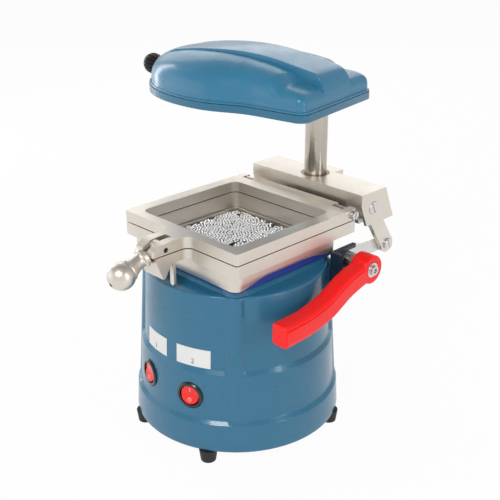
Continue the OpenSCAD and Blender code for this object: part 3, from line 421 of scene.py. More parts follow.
def ringFaces(rows, cols, wrapRows):
    # quads between neighbouring rows of a grid whose columns close on themselves
    r = np.arange(rows if wrapRows else rows - 1)[:, None]
    c = np.arange(cols)[None, :]
    n, s = (r + 1) % rows, (c + 1) % cols
    return np.stack([r * cols + c, r * cols + s, n * cols + s, n * cols + c], -1).reshape(-1, 4)


def outward(mesh, merge=0):
    # points nearer to each other than the merge distance become one, and every face looks outward
    bm = bmesh.new()
    bm.from_mesh(mesh)
    if merge:
        bmesh.ops.remove_doubles(bm, verts=bm.verts, dist=merge)
    bmesh.ops.recalc_face_normals(bm, faces=bm.faces)
    bm.to_mesh(mesh)
    bm.free()
    return mesh


def capped(rows, name):
    # rings of points in mm joined to a skin, with a flat face over each end
    grid = np.array(rows) * mm
    cols = grid.shape[1]
    faces = ringFaces(len(rows), cols, False).tolist()
    faces += [list(range(cols))[::-1], list(range((len(rows) - 1) * cols, len(rows) * cols))]
    mesh = bpy.data.meshes.new(name)
    mesh.from_pydata(grid.reshape(-1, 3).tolist(), [], faces)
    return outward(mesh)


def joined(meshes, name):
    # several closed meshes in one
    bm = bmesh.new()
    for m in meshes:
        bm.from_mesh(m)
    out = bpy.data.meshes.new(name)
    bm.to_mesh(out)
    bm.free()
    return out


def closedEnds(grid, name):
    # a grid whose first and last rows have shrunk to a point: the points are merged
    mesh = solidMesh(name, grid.reshape(-1, 3), ringFaces(grid.shape[0], grid.shape[1], False))
    return outward(mesh, 1e-6)


def cornered(points, radii, steps=5):
    # a path whose corners are replaced by arcs of the given radii
    p = np.array(points, float)
    out = [p[0]]
    for i in range(1, len(p) - 1):
        u, v = p[i - 1] - p[i], p[i + 1] - p[i]
        lu, lv = np.linalg.norm(u), np.linalg.norm(v)
        u, v = u / lu, v / lv
        half = math.acos(np.clip(u @ v, -1, 1)) / 2
        cut = min(radii[i] / math.tan(half), lu * 0.48, lv * 0.48)
        radius = cut * math.tan(half)
        centre = p[i] + (u + v) / np.linalg.norm(u + v) * radius / math.sin(half)
        a, b = p[i] + u * cut - centre, p[i] + v * cut - centre
        for t in np.linspace(0, 1, steps):
            w = a * (1 - t) + b * t
            out.append(centre + w / np.linalg.norm(w) * radius)
    out.append(p[-1])
    return np.array(out)


def blendMax(a, b, k):
    # the larger of two heights, with a fillet of about k where they meet
    h = np.maximum(k - np.abs(a - b), 0) / k
    return np.maximum(a, b) + h * h * k / 4


def ease(a, b, t):
    # from a to b as t goes from 0 to 1, level at both ends: half a cosine wave
    return a + (b - a) * (0.5 - 0.5 * np.cos(np.pi * np.clip(t, 0, 1)))


def lathe(profile, columns, name):
    # a closed outline of (radius, height) turned about Z
    t = np.linspace(0, 2 * np.pi, columns, endpoint=False)
    p = np.array(profile)
    grid = np.stack([p[:, :1] * np.cos(t), p[:, :1] * np.sin(t), np.repeat(p[:, 1:], columns, 1)], -1)
    return solidMesh(name, grid.reshape(-1, 3) * mm, ringFaces(len(p), columns, True))


def cutAway(mesh, cutters):
    # the mesh less each cutter, with the exact solver
    for cutter in cutters:
        a, b = linked("cutBody", mesh), linked("cutTool", cutter)
        m = a.modifiers.new("cut", "BOOLEAN")
        m.operation, m.object, m.solver = "DIFFERENCE", b, "EXACT"
        graph = bpy.context.evaluated_depsgraph_get()
        mesh = bpy.data.meshes.new_from_object(a.evaluated_get(graph))
        bpy.data.objects.remove(a)
        bpy.data.objects.remove(b)
    return mesh


# Painted body: three tapering tiers, four leaning pillars, rim and platform

body = {
    "rimRadius": 77.4, "rimZ": 147.6, "footZ": 11.4,
    # outer radius beyond the rim's and height: foot, lower step, upper step
    "outside": [(12.45, 13.2), (11.1, 36), (8.0, 39.4), (5.9, 80), (3.2, 84)],
    # the same on the way back down the inside, under the rim
    "inside": [(-3.2, 143.6), (-0.1, 85), (2.6, 80), (4.8, 40), (7.8, 36), (8.8, 15.8), (3.9, 15.8),
               (3.9, 11.4)],
    "bore": 18, "columns": 620, "rowHeight": 4.5,
    "edgeRound": 1.8, "stepRound": 1.7,  # rim and foot edge, corners of the two steps
    "pillarRadius": 10.5, "pillarInset": 7.9, "pillarLean": 3.77, "pillarFillet": 0.6, "footFillet": 1.5,
    "creaseAngle": 6.0, "creaseWidth": 2.6, "creaseDensity": 4,  # where columns crowd beside a pillar
    "platform": (59.5, 56.5, 7.0, 152.6),  # half width, half depth, corner, top
    "platformFillet": 1.0, "platformBevel": 0.6, "windowY": -0.9,
    "switchHoles": [(-71, 58.5), (-104.5, 60)],  # direction and height
    "switchRings": [(10.2, 60), (10.2, 83.4), (11.8, 83.4), (11.8, 110)],
    "inletHole": ((-120, -14, 51.5), (-60, 14, 72.5)), "inletPad": ((-85.6, -18, 47), (-76, 18, 77)),
    "bearingPad": ((50, 43, 112), (63.4, 56.3, 143)),
}

boss = {"columnY": 99.3, "radius": 15, "webHalf": 13, "webLength": 22, "bore": 10.4, "belowRim": 7.6,
        "edgeRound": 1.2, "chamfer": 0.5}


def roundedSquareRadius(theta, halfX, halfY, corner, offsetY):
    # distance from the axis to a rounded rectangle, looked up by direction
    t = np.linspace(0, np.pi / 2, 24)
    arc = np.stack([halfX - corner + corner * np.cos(t), halfY - corner + corner * np.sin(t)], 1)
    quarter = np.concatenate([np.linspace([halfX, 0], [halfX, halfY - corner], 20, endpoint=False), arc,
                              np.linspace([halfX - corner, halfY], [0, halfY], 21)[1:]])
    half = np.concatenate([quarter, quarter[-2::-1] * [-1, 1]])
    loop = np.concatenate([half, half[-2:0:-1] * [1, -1]]) + [0, offsetY]
    angle = np.arctan2(loop[:, 1], loop[:, 0])
    order = np.argsort(angle)
    return np.interp(theta, angle[order], np.hypot(*loop.T)[order], period=2 * np.pi)


def bodyColumns(b):
    # directions round the body, closer together beside each pillar
    t = np.linspace(0, 2 * np.pi, 7200)
    near = np.zeros_like(t)
    for a in (45, 135, 225, 315):
        d = np.degrees(np.angle(np.exp(1j * (t - math.radians(a)))))
        near += np.exp(-((np.abs(d) - b["creaseAngle"]) / b["creaseWidth"]) ** 2)
    total = np.cumsum(1 + b["creaseDensity"] * near)
    return np.interp(np.linspace(0, total[-1], b["columns"], endpoint=False), total, t)


def pillarReach(theta, z, b):
    # radius reached by the nearest pillar, a leaning cylinder, in each direction at each height
    away = np.degrees(theta) % 90 - 45
    centre = b["rimRadius"] - b["pillarInset"] + (b["rimZ"] - z) * math.tan(math.radians(b["pillarLean"]))
    side = centre * np.sin(np.radians(away))
    inside = b["pillarRadius"] ** 2 - side ** 2
    return np.where(inside > 0, centre * np.cos(np.radians(away)) + np.sqrt(np.maximum(inside, 0)), 0)


def bodyShell(b):
    # rows of radius + i height run up the outside, over the rim and the platform, and back down the inside
    rim, top, foot, e = b["rimRadius"], b["rimZ"], b["footZ"], b["edgeRound"]
    t = bodyColumns(b)
    corners = [(rim + out, z) for out, z in b["outside"]] + [(rim, top - e)]
    path = cornered(corners, [0] + [b["stepRound"]] * (len(corners) - 2) + [0], 7)
    fine = []
    for p, q in zip(path[:-1], path[1:]):
        n = max(1, int(abs(q[1] - p[1]) / b["rowHeight"]))
        fine += [p + (q - p) * k / n for k in range(n)]
    quarter = np.linspace(0, np.pi / 2, 7)
    rows = []
    for a in quarter[::-1]:
        z = foot + e - e * math.sin(a)
        edge = blendMax(np.full_like(t, path[0][0]), pillarReach(t, z, b), b["footFillet"])
        rows.append(edge - e * (1 - math.cos(a)) + 1j * z)
    for r, z in fine[1:]:
        rows.append(blendMax(np.full_like(t, r), pillarReach(t, z, b), b["pillarFillet"]) + 1j * z)
    edge = blendMax(np.full_like(t, rim), pillarReach(t, top, b), b["pillarFillet"])
    for a in quarter:
        rows.append(edge - e * (1 - math.cos(a)) + 1j * (top - e + e * math.sin(a)))
    halfX, halfY, corner, platTop = b["platform"]
    fillet, bevel = b["platformFillet"], b["platformBevel"]
    plat = np.minimum(roundedSquareRadius(t, halfX, halfY, corner, b["windowY"]), edge - e - 0.5)
    outer = np.minimum(plat + fillet, edge - e - 0.2)
    rows += [(edge - e + outer) / 2 + 1j * top, outer + 1j * top,
             plat + fillet * 0.3 + 1j * (top + fillet * 0.3), plat + 1j * (top + fillet),
             plat + 1j * (platTop - bevel), plat - bevel + 1j * platTop]
    back = [(b["bore"], platTop), (b["bore"], b["inside"][0][1])] + [(rim + out, z) for out, z in b["inside"]]
    rows += [np.full_like(t, r) + 1j * z for r, z in back]
    g = np.array(rows)
    grid = np.stack([g.real * np.cos(t), g.real * np.sin(t), g.imag], -1) * mm
    return solidMesh("bodyShell", grid.reshape(-1, 3), ringFaces(len(g), len(t), True))


def stepped(azimuth, height, rings):
    # a cutter whose axis runs outward: rings of (radius, distance from the body axis)
    mesh = lathe([(0.001, rings[0][1])] + rings + [(0.001, rings[-1][1])], 64, "cutter")
    mesh.transform(turned(azimuth, "Z") @ moved(0, 0, height) @ turned(90, "Y"))
    return mesh


def boxMesh(name, lo, hi):
    # a box between two corners in mm
    x, y, z = [(lo[i] * mm, hi[i] * mm) for i in range(3)]
    v = np.array([(a, b, c) for c in z for b in y for a in x])
    f = np.array([(0, 2, 3, 1), (4, 5, 7, 6), (0, 1, 5, 4), (2, 6, 7, 3), (0, 4, 6, 2), (1, 3, 7, 5)])
    return solidMesh(name, v, f)


def columnBoss(b, c):
    # a round boss joined to the body by a web, bored for the column
    t = np.linspace(-np.pi, np.pi, 96, endpoint=False)
    web = np.minimum(c["webHalf"] / np.maximum(np.abs(np.cos(t)), 1e-6),
                     c["webLength"] / np.maximum(-np.sin(t), 1e-6))
    out = np.where(np.sin(t) < 0, np.maximum(c["radius"], web), c["radius"])
    low, high, e, bore, cut = b["footZ"], b["rimZ"] - c["belowRim"], c["edgeRound"], c["bore"], c["chamfer"]
    slope = 0.35  # the edge's middle ring lies this far in and this far down
    rows = [(out, low), (out, high - e), (out - slope, high - slope), (out - e, high), (bore + cut, high),
            (bore, high - cut), (bore, low)]
    grid = np.array([np.stack([r * np.cos(t), c["columnY"] + r * np.sin(t), np.full_like(t, z)], -1)
                     for r, z in [(np.zeros_like(t) + r, z) for r, z in rows]]) * mm
    return solidMesh("columnBoss", grid.reshape(-1, 3), ringFaces(len(rows), len(t), True))


def makeBody(b, c):
    # the shell less its two switch holes and the inlet's hole, joined with boss, inlet pad and bearing pad
    cutters = [stepped(a, z, b["switchRings"]) for a, z in b["switchHoles"]]
    inlet = boxMesh("inletCutter", *b["inletHole"])
    shell = cutAway(bodyShell(b), cutters + [inlet])
    inletPad = cutAway(boxMesh("inletPad", *b["inletPad"]), [inlet])
    bearingPad = boxMesh("bearingPad", *b["bearingPad"])
    casting = joined([shell, columnBoss(b, c), inletPad, bearingPad], "bodyCasting")
    addPiece("bodyCasting", casting, "base", "blue_paint", ["base_housing"], sharp=38)


makeBody(body, boss)
print("stage 5: body")

# Head cover: a long rounded back, a raised spine, and a deck with scoops beside it at the rear

head = {
    "swing": 80.4, "columnY": 99.3, "floorZ": 261.0, "lipZ": 269.5, "points": 420,
    "halfWidth": 68.0, "nose": 99.0, "lobeY": -79.2, "waist": 58.1, "rear": 58.4, "rearY": 23.2,
    "corner": 9.0,
    "waistLength": 53, "rearLength": 31,  # from the lobe to the waist, and on to the rear's full width
    "crest": 36.5, "crestY": -72, "frontCurve": 0.0013, "rearCurve": 0.0019,
    "straightY": -25, "rearSlope": 0.193,
    "backHeight": 35.9, "deckHeight": 18.8, "scoopStart": -14.0, "scoopLength": 16.0, "scoopSlant": 0.15,
    "spineHalf": 24.5, "spineRear": 21.6, "spineRound": 0.8, "spineCrown": 0.4,
    "narrowFrom": -110, "narrowLength": 90,
    "spineStep": (1.3, 3.9),  # the spine's rise over the back, front and rear
    "stepFrom": -85, "stepLength": 45,
    "roundness": (2.8, 4.4), "roundFrom": -80, "roundLength": 80,  # power of the section, front and rear
    "outerSkin": -2.2, "innerSkin": -5.2,  # distances from the outline
    # the lip's section: distance from the outline, height over the floor
    "lip": [(-2.2, 8.9), (-2.1, 8.65), (-0.9, 8.55), (-0.5, 8.4), (-0.35, 8.1), (-0.35, 7.05), (-0.45, 6.85),
            (-0.9, 6.75), (-1.3, 6.7), (-1.3, 6.5), (-5.2, 6.5)],
    "spineRun": (-140, 5), "spineFoot": (18.5, -150, -0.1),  # y of its top; y and height of its foot
    "crownFade": 8,  # the spine is flat across at the lip and fully crowned this far over it
    # the spine's ends seen from the side: y, height over the lip
    "spineNose": [(-155, 18.0), (-151, 24.2), (-146, 28.3)],
    "spineTail": [(7.8, 25.8), (10.6, 24.7), (13.2, 23.1), (15.6, 20.9), (17.7, 17.9), (19.3, 14.2),
                  (20.3, 10.0), (20.85, 5.0), (20.95, -0.1)],
}


def headOutline(h, count):
    # elliptic nose, waist and rounded rear corners, spaced evenly along its length
    a = np.radians(np.linspace(0, 90, 60, endpoint=False))
    nose = np.stack([h["halfWidth"] * np.sin(a), h["lobeY"] - h["nose"] * np.cos(a)], 1)
    y = np.linspace(h["lobeY"], h["rearY"] - h["corner"], 60, endpoint=False)
    waistY = h["lobeY"] + h["waistLength"]
    w = np.where(y < waistY, ease(h["halfWidth"], h["waist"], (y - h["lobeY"]) / h["waistLength"]),
                 ease(h["waist"], h["rear"], (y - waistY) / h["rearLength"]))
    a = np.radians(np.linspace(0, 90, 20))
    c = h["corner"]
    corner = np.stack([h["rear"] - c + c * np.cos(a), h["rearY"] - c + c * np.sin(a)], 1)
    side = np.concatenate([nose, np.stack([w, y], 1), corner])
    loop = np.concatenate([side, side[:0:-1] * [-1, 1]])
    closed = np.concatenate([loop, loop[:1]])
    run = np.concatenate([[0], np.cumsum(np.hypot(*np.diff(closed, axis=0).T))])
    s = np.linspace(0, run[-1], count, endpoint=False)
    return np.stack([np.interp(s, run, closed[:, 0]), np.interp(s, run, closed[:, 1])], 1)


def grown(outline, d):
    # the outline moved outward by d along its own normals
    along = np.roll(outline, -1, 0) - np.roll(outline, 1, 0)
    normal = np.stack([along[:, 1], -along[:, 0]], 1) / np.linalg.norm(along, axis=1, keepdims=True)
    return outline + d * normal


def spineHeight(y, h):
    # two half parabolas that meet at the crest, the rear one running on straight
    curved = np.minimum(y, h["straightY"])
    bend = np.where(y < h["crestY"], h["frontCurve"], h["rearCurve"])
    return h["crest"] - bend * (curved - h["crestY"]) ** 2 - h["rearSlope"] * (y - curved)


def coverHeight(x, y, h):
    # a little below the spine in front, further below it behind, and eased down to the deck in the scoop
    step = ease(*h["spineStep"], (y - h["stepFrom"]) / h["stepLength"])
    back = np.minimum(h["backHeight"], spineHeight(np.maximum(y, h["crestY"]), h)) - step
    along = y - h["scoopStart"] + h["scoopSlant"] * (np.abs(x) - h["spineHalf"])
    return ease(back, h["deckHeight"], along / h["scoopLength"])


def domeRow(outline, s, d, h):
    # one ring of the cover: the outline drawn in towards the lobe, and lifted along a rounded section
    o = grown(outline, d)
    p = ease(*h["roundness"], (o[:, 1] - h["roundFrom"]) / h["roundLength"])
    x, y = s * o[:, 0], h["lobeY"] + s * (o[:, 1] - h["lobeY"])
    z = (coverHeight(x, y, h) + d - h["outerSkin"]) * (1 - s ** p) ** (1 / p)
    return np.stack([x, y, h["lipZ"] + z], 1)


def toHeadPose(mesh, h):
    # turned by the swing about the column's axis
    mesh.transform(moved(0, h["columnY"], 0) @ turned(-h["swing"], "Z"))
    return mesh


def coverMesh(h):
    # from the crown out to the lip in ever closer rows, round the lip, and back under the crown
    outline = headOutline(h, h["points"])
    steps = np.concatenate([np.linspace(0, 0.94, 66), 1 - np.geomspace(0.055, 0.0002, 14)])
    rows = [domeRow(outline, s, h["outerSkin"], h) for s in steps]
    for d, z in h["lip"]:
        rows.append(np.column_stack([grown(outline, d), np.full(len(outline), h["floorZ"] + z)]))
    rows += [domeRow(outline, s, h["innerSkin"], h) for s in steps[::-1][::2]]
    return toHeadPose(closedEnds(np.array(rows) * mm, "coverShell"), h)


def spineMesh(h):
    # the spine's outline seen from the side, closed well inside the cover, and drawn across the head
    y = np.linspace(*h["spineRun"], 46)
    top = np.concatenate([h["spineNose"], np.stack([y, spineHeight(y, h)], 1), h["spineTail"]])
    rear, front, foot = h["spineFoot"]
    loop = np.concatenate([top, np.stack([np.linspace(rear, front, 30), np.full(30, foot)], 1)])
    along = np.roll(loop, -1, 0) - np.roll(loop, 1, 0)
    normal = np.stack([-along[:, 1], along[:, 0]], 1) / np.linalg.norm(along, axis=1, keepdims=True)
    lift = np.clip(loop[:, 1] / h["crownFade"], 0, 1)
    half, r = h["spineHalf"], h["spineRound"]
    a = np.linspace(0, np.pi / 2, 6)
    edge = np.stack([half - r + r * np.sin(a), r * (1 - np.cos(a))], 1)
    flat = np.stack([np.linspace(r - half, half - r, 15)[1:-1], np.zeros(13)], 1)
    rows = []
    for x, inset in np.concatenate([edge[::-1] * [-1, 1], flat, edge]):
        q = loop - normal * inset
        across = x * ease(1, h["spineRear"] / half, (q[:, 0] - h["narrowFrom"]) / h["narrowLength"])
        z = q[:, 1] - h["spineCrown"] * lift * (x / half) ** 2
        rows.append(np.column_stack([across, q[:, 0], h["lipZ"] + z]))
    return toHeadPose(capped(rows, "spine"), h)


def makeHead(h):
    # cover and spine as one piece
    mesh = joined([coverMesh(h), spineMesh(h)], "headCover")
    addPiece("headCover", mesh, "head", "blue_cover", ["head_cover"], sharp=50)


makeHead(head)
print("stage 6: head cover")

# Red lever: a swept arm with a fine line along its outer face, and a round hub

lever = {
    "axis": (81.3, 64.0, 146.3),
    "stations": [  # place from the axis, tilt in degrees
        (7.55, -2, -0.5, -14), (7.7, -9, -2.2, -14), (9.2, -30, -6.6, -16), (11.6, -56, -15.6, -18),
        (13.0, -80, -19.6, -5), (13.6, -95, -20, -1), (14, -111, -20, 0)],
    "rings": 64,
    "startRings": [(2.0, 0), (0.6, 0)],  # each ring's inset, and its distance beyond the end station
    "endRings": [(0, -0.9), (0.3, -0.4), (0.9, 0.05), (2.0, 0.05)],
    "width": 15.5, "height": 18.6, "corner": 3.2, "lineBelowTop": 3.6, "lineDepth": 1.0, "lineWidth": 1.3,
    "hubRadius": 12.4, "hubWidth": 15.3, "shaftBore": 5.05, "boltBore": 2.7, "boltSeat": 6,
    "recessRadius": 6.75, "recessDepth": 1.2,
}


def leverSection(v, inset):
    # rounded rectangle (x across, z up) with a fine groove near the top of its outer face
    hw, hh, c = v["width"] / 2 - inset, v["height"] / 2 - inset, max(v["corner"] - inset, 0.4)
    line, depth, w = hh - v["lineBelowTop"], v["lineDepth"] * (1 - min(inset, 1)), v["lineWidth"] / 2
    pts = []
    for sx, sz, start in ((1, 1, 90), (1, -1, 0), (-1, -1, -90), (-1, 1, -180)):
        for a in np.radians(np.linspace(start, start - 90, 7)):
            pts.append((sx * (hw - c) + c * math.cos(a), sz * (hh - c) + c * math.sin(a)))
        if (sx, sz) == (1, 1):
            pts += [(hw, line + w), (hw - depth, line + w * 0.4), (hw - depth, line - w * 0.4),
                    (hw, line - w)]
    return np.array(pts)


def curveThrough(points, count):
    # a smooth curve through the stations, each span a cubic with matched slopes
    p = np.array(points, float)
    p = np.concatenate([[2 * p[0] - p[1]], p, [2 * p[-1] - p[-2]]])
    spans = len(p) - 3
    out = []
    for s in np.linspace(0, spans, count):
        i = min(int(s), spans - 1)
        t = s - i
        a, b, c, d = p[i:i + 4]
        square, cube = 2 * a - 5 * b + 4 * c - d, 3 * b - a - 3 * c + d
        out.append(0.5 * (2 * b + (c - a) * t + square * t ** 2 + cube * t ** 3))
    return np.array(out)


def makeLever(v):
    # the section set up along the curve, drawn in over both ends, and a turned hub on the axis
    path = curveThrough(v["stations"], v["rings"])
    plan = [(0, *ring) for ring in v["startRings"]] + [(i, 0, 0) for i in range(len(path) - 1)]
    plan += [(len(path) - 1, *ring) for ring in v["endRings"]]
    rows = []
    for i, inset, beyond in plan:
        tilt = math.radians(path[i, 3])
        along = np.array([0, -math.cos(tilt), math.sin(tilt)])
        up = np.array([0, math.sin(tilt), math.cos(tilt)])
        section = leverSection(v, inset)
        place = path[i, :3] + v["axis"] + along * beyond
        rows.append(place + section[:, :1] * [1, 0, 0] + section[:, 1:] * up)
    r, w, bore, seat = v["hubRadius"], v["hubWidth"], v["shaftBore"], v["hubWidth"] - v["boltSeat"]
    recess, floor = v["recessRadius"], v["hubWidth"] - v["recessDepth"]
    profile = [(bore, 0), (r - 1.2, 0), (r - 0.35, 0.35), (r, 1.2), (r, w - 1.4), (r - 0.4, w - 0.4),
               (r - 1.4, w), (recess + 0.45, w), (recess, w - 0.4), (recess, floor),
               (v["boltBore"], floor), (v["boltBore"], seat), (bore, seat)]
    hub = lathe(profile, 72, "leverHub")
    hub.transform(moved(*v["axis"]) @ turned(90, "Y"))
    mesh = joined([capped(rows, "leverArm"), hub], "leverWorked")
    addPiece("redLeverWorked", mesh, "lever", "lever_red", ["red_lever"], sharp=40)


makeLever(lever)
print("stage 7: lever")

# Steel shot: a loose bright layer of small balls over a lower layer in a dark finish as painted shade; each
# ball is painted darker low down as painted shade

shot = {
    "spacing": 2.9, "fill": 0.9, "radius": (1.1, 1.3), "pushes": 36, "pushShare": 0.45,
    "middleZ": 163.1, "layerDrop": 1.9, "sink": 0.8,
    "halfX": 52.85, "halfY": 50.75, "middleY": -0.9, "seed": 11,
}


def ballTemplate():
    # a cube of 24 quads pushed out to a sphere
    g = np.linspace(-1, 1, 3)
    pts, faces = {}, []
    for axis in range(3):
        for side in (-1, 1):
            idx = np.zeros((3, 3), int)
            for i, a in enumerate(g):
                for j, b in enumerate(g):
                    p = [0, 0, 0]
                    p[axis], p[(axis + 1) % 3], p[(axis + 2) % 3] = side, a, b
                    idx[i, j] = pts.setdefault(tuple(p), len(pts))
            for i in range(2):
                for j in range(2):
                    q = [idx[i, j], idx[i + 1, j], idx[i + 1, j + 1], idx[i, j + 1]]
                    faces.append(q if side > 0 else q[::-1])
    v = np.array(list(pts), float)
    return v / np.linalg.norm(v, axis=1, keepdims=True), np.array(faces)


def scattered(rng, s):
    # random places in the tray, pushed away from neighbours nearer than the spacing until they lie evenly
    half = np.array([s["halfX"], s["halfY"]])
    count = int(4 * half[0] * half[1] / (math.sqrt(0.75) * s["spacing"] ** 2) * s["fill"])
    p = rng.uniform(-half, half, (count, 2))
    for k in range(s["pushes"]):
        gap = p[:, None] - p[None]
        far = np.hypot(gap[..., 0], gap[..., 1]) + 1e-6 + 1e3 * np.eye(count)  # no ball pushes itself
        push = np.maximum(s["spacing"] - far, 0) / far * s["pushShare"]
        p = np.clip(p + np.einsum("ij,ijk->ik", push, gap), -half, half)
    return p + [0, s["middleY"]]


def makeShot(s):
    # two layers of scattered places, with a ball of its own size and height at each
    rng = np.random.default_rng(s["seed"])
    ball, faces = ballTemplate()
    # the lower layer's dark finish is painted shade
    layers = (("shotTop", "shot_steel", ["steel_shot"]), ("shotBelowPaintedShade", "shot_painted_shade", []))
    for layer, (name, finish, replaced) in enumerate(layers):
        place = scattered(rng, s)
        z = s["middleZ"] - layer * s["layerDrop"] - rng.uniform(0, s["sink"], len(place)) ** 2
        radius = rng.uniform(*s["radius"], len(place))
        v = np.column_stack([place, z])[:, None] + ball[None] * radius[:, None, None]
        f = faces[None] + (np.arange(len(place)) * len(ball))[:, None, None]
        mesh = bpy.data.meshes.new(name)
        mesh.from_pydata((v.reshape(-1, 3) * mm).tolist(), [], f.reshape(-1, 4).tolist())
        mesh.polygons.foreach_set("use_smooth", np.ones(len(mesh.polygons), dtype=bool))
        mesh.update()
        addPiece(name, mesh, "base", "shot_steel", replaced, finish)
        print("   balls:", len(place))


makeShot(shot)
print("stage 8: shot")

# Skirt: a thin wall round the vacuum bed, straight in front and arched on the other sides

skirt = {
    "halfX": 62.5, "halfY": 59.6, "corner": 8.0, "wall": 1.3, "middleY": -1.6, "innerCorner": 5.8,
    "lowZ": 154.9, "gasketZ": 160.25, "topZ": 169.3, "innerX": 57.2, "innerY": 55.1, "innerMiddleY": -0.9,
    "sideArch": 5.3, "frontArch": 0.5,  # rise of the lower edge
    "archEase": 0.62,  # share of the half side over which the edge rises
    "edgeRound": 0.35,
}


def roundedLoop(hx, hy, r, cy, side=44, corner=14):
    # a rounded rectangle with the same number of points on every side and corner
    signs = ((1, 1), (-1, 1), (-1, -1), (1, -1))
    arcs = []
    for k, (sx, sy) in enumerate(signs):
        a = np.radians(90 * k + np.linspace(0, 90, corner))
        arcs.append(np.stack([sx * (hx - r) + r * np.cos(a), sy * (hy - r) + r * np.sin(a)], 1))
    sides = [np.linspace(arcs[k][-1], arcs[(k + 1) % 4][0], side + 1)[1:-1] for k in range(4)]
    return np.concatenate([part for pair in zip(arcs, sides) for part in pair]) + [0, cy]


def makeSkirt(k):
    # a thin wall whose lower edge rises by an eased arch towards the middle of each side
    outer = roundedLoop(k["halfX"], k["halfY"], k["corner"], k["middleY"])
    y = outer[:, 1] - k["middleY"]
    onSide = np.abs(outer[:, 0]) / k["halfX"] > np.abs(y) / k["halfY"]
    t = np.where(onSide, np.abs(y) / (k["halfY"] - 2), np.abs(outer[:, 0]) / (k["halfX"] - 2))
    arch = np.where(onSide, k["sideArch"], np.where(y < 0, k["frontArch"], k["sideArch"]))
    low = k["lowZ"] + ease(0, 1, (1 - t) / k["archEase"]) * arch
    w, e = k["wall"], k["edgeRound"]

    def row(inset, z):
        loop = roundedLoop(k["halfX"] - inset, k["halfY"] - inset, k["corner"] - inset, k["middleY"])
        return np.column_stack([loop, np.zeros(len(loop)) + z])
    inner = roundedLoop(k["innerX"], k["innerY"], k["innerCorner"], k["innerMiddleY"])

    def innerRow(z):
        return np.column_stack([inner, np.full(len(inner), z)])
    rows = [row(0, k["topZ"]), row(0, k["gasketZ"] + 2), row(0, low + e), row(e * 0.3, low + e * 0.3),
            row(e, low), row(w - 0.1, low), row(w, low + 0.2), row(w, np.maximum(k["gasketZ"], low + 0.3)),
            innerRow(k["gasketZ"] + 0.3), innerRow(k["topZ"])]
    mesh = solidMesh("skirt", np.concatenate(rows) * mm, ringFaces(len(rows), len(outer), True))
    addPiece("skirtWorked", mesh, "carriage", "brushed_alloy", ["skirt"], sharp=40)


makeSkirt(skirt)

# Lever bracket: a front plate and a thin arm on the body's bearing pad, round the lever's shaft

bracket = {
    "padX": 63.45, "plateOut": 11.5, "plateY": (47.6, 51.8), "plateZ": (112, 157.6),
    "armOut": 4.1, "armY": (51.3, 77.5), "armZ": (154.0, 158.0),
    "axis": (64.0, 146.3), "collarRadius": 9.0, "collarOut": 2.6, "edgeRound": 0.8,
    "sleeveRadius": 8.6, "sleeveOut": 15.5, "sleeveBevel": 0.6, "bore": 5.06,
}


def makeBracket(b):
    # plate, arm and collar as one painted piece, and a turned sleeve on the lever's shaft
    x = b["padX"]
    turn = moved(x, *b["axis"]) @ turned(90, "Y")
    collar = lathe([(b["bore"], 0), (b["collarRadius"], 0), (b["collarRadius"], b["collarOut"]),
                    (b["bore"], b["collarOut"])], 64, "collar")
    collar.transform(turn)
    plate = boxMesh("plate", *zip((x, x + b["plateOut"]), b["plateY"], b["plateZ"]))
    arm = boxMesh("arm", *zip((x, x + b["armOut"]), b["armY"], b["armZ"]))
    mesh = joined([plate, arm, collar], "bracket")
    # its navy finish is the body's blue darkened as painted shade
    obj = addPiece("leverBracketWorked", mesh, "base", "navy_paint", ["lever_bracket"], sharp=40)
    edgeRound(obj, b["edgeRound"] * mm, 3, 40)
    r, out, bevel = b["sleeveRadius"], b["sleeveOut"], b["sleeveBevel"]
    sleeve = lathe([(b["bore"], b["collarOut"]), (r, b["collarOut"]), (r, out - bevel), (r - bevel, out),
                    (b["bore"], out)], 64, "sleeve")
    sleeve.transform(turn)
    addPiece("shaftSleeve", sleeve, "base", "bright_steel", ["shaft_bush"], sharp=40)


makeBracket(bracket)
print("stage 9: skirt and bracket")

# Plates over the switches, and the marks on plates and rockers

plates = {
    "places": [(-81.3, -59.2, "2"), (-110.2, -89.6, "1")],  # start and end direction in degrees, number
    "lowZ": 84.3, "highZ": 100.2, "thickness": 0.35, "gap": 0.04, "inkRise": 0.06, "inkRoot": 0.05,
    "radiusLow": 80.6, "lowAt": 84.0, "radiusHigh": 77.4, "highAt": 147.6,  # the body's slope behind them
    "numberSize": 6.4, "numberZ": 86.6,
}


def wrapped(points, direction, p, lift):
    # flat points (across, up) in mm bent round the sloping body, at a height over its surface
    z = points[:, 1]
    slope = (p["radiusHigh"] - p["radiusLow"]) / (p["highAt"] - p["lowAt"])
    r = p["radiusLow"] + (z - p["lowAt"]) * slope
    a = math.radians(direction) + points[:, 0] / r
    r = r + lift
    return np.stack([r * np.cos(a), r * np.sin(a), z], 1)


def slab(outline2d, faces2d, place, low, high, name):
    # two copies of a flat outline at two heights, joined round the open edges
    n = len(outline2d)
    verts = np.concatenate([place(outline2d, low), place(outline2d, high)])
    edges = {(a, b) for f in faces2d for a, b in zip(f, list(f[1:]) + [f[0]])}
    rim = sorted((a, b) for a, b in edges if (b, a) not in edges)
    faces = [list(f)[::-1] for f in faces2d] + [[v + n for v in f] for f in faces2d]
    faces += [[a, b, b + n, a + n] for a, b in rim]
    mesh = bpy.data.meshes.new(name)
    mesh.from_pydata((verts * mm).tolist(), [], faces)
    return outward(mesh)


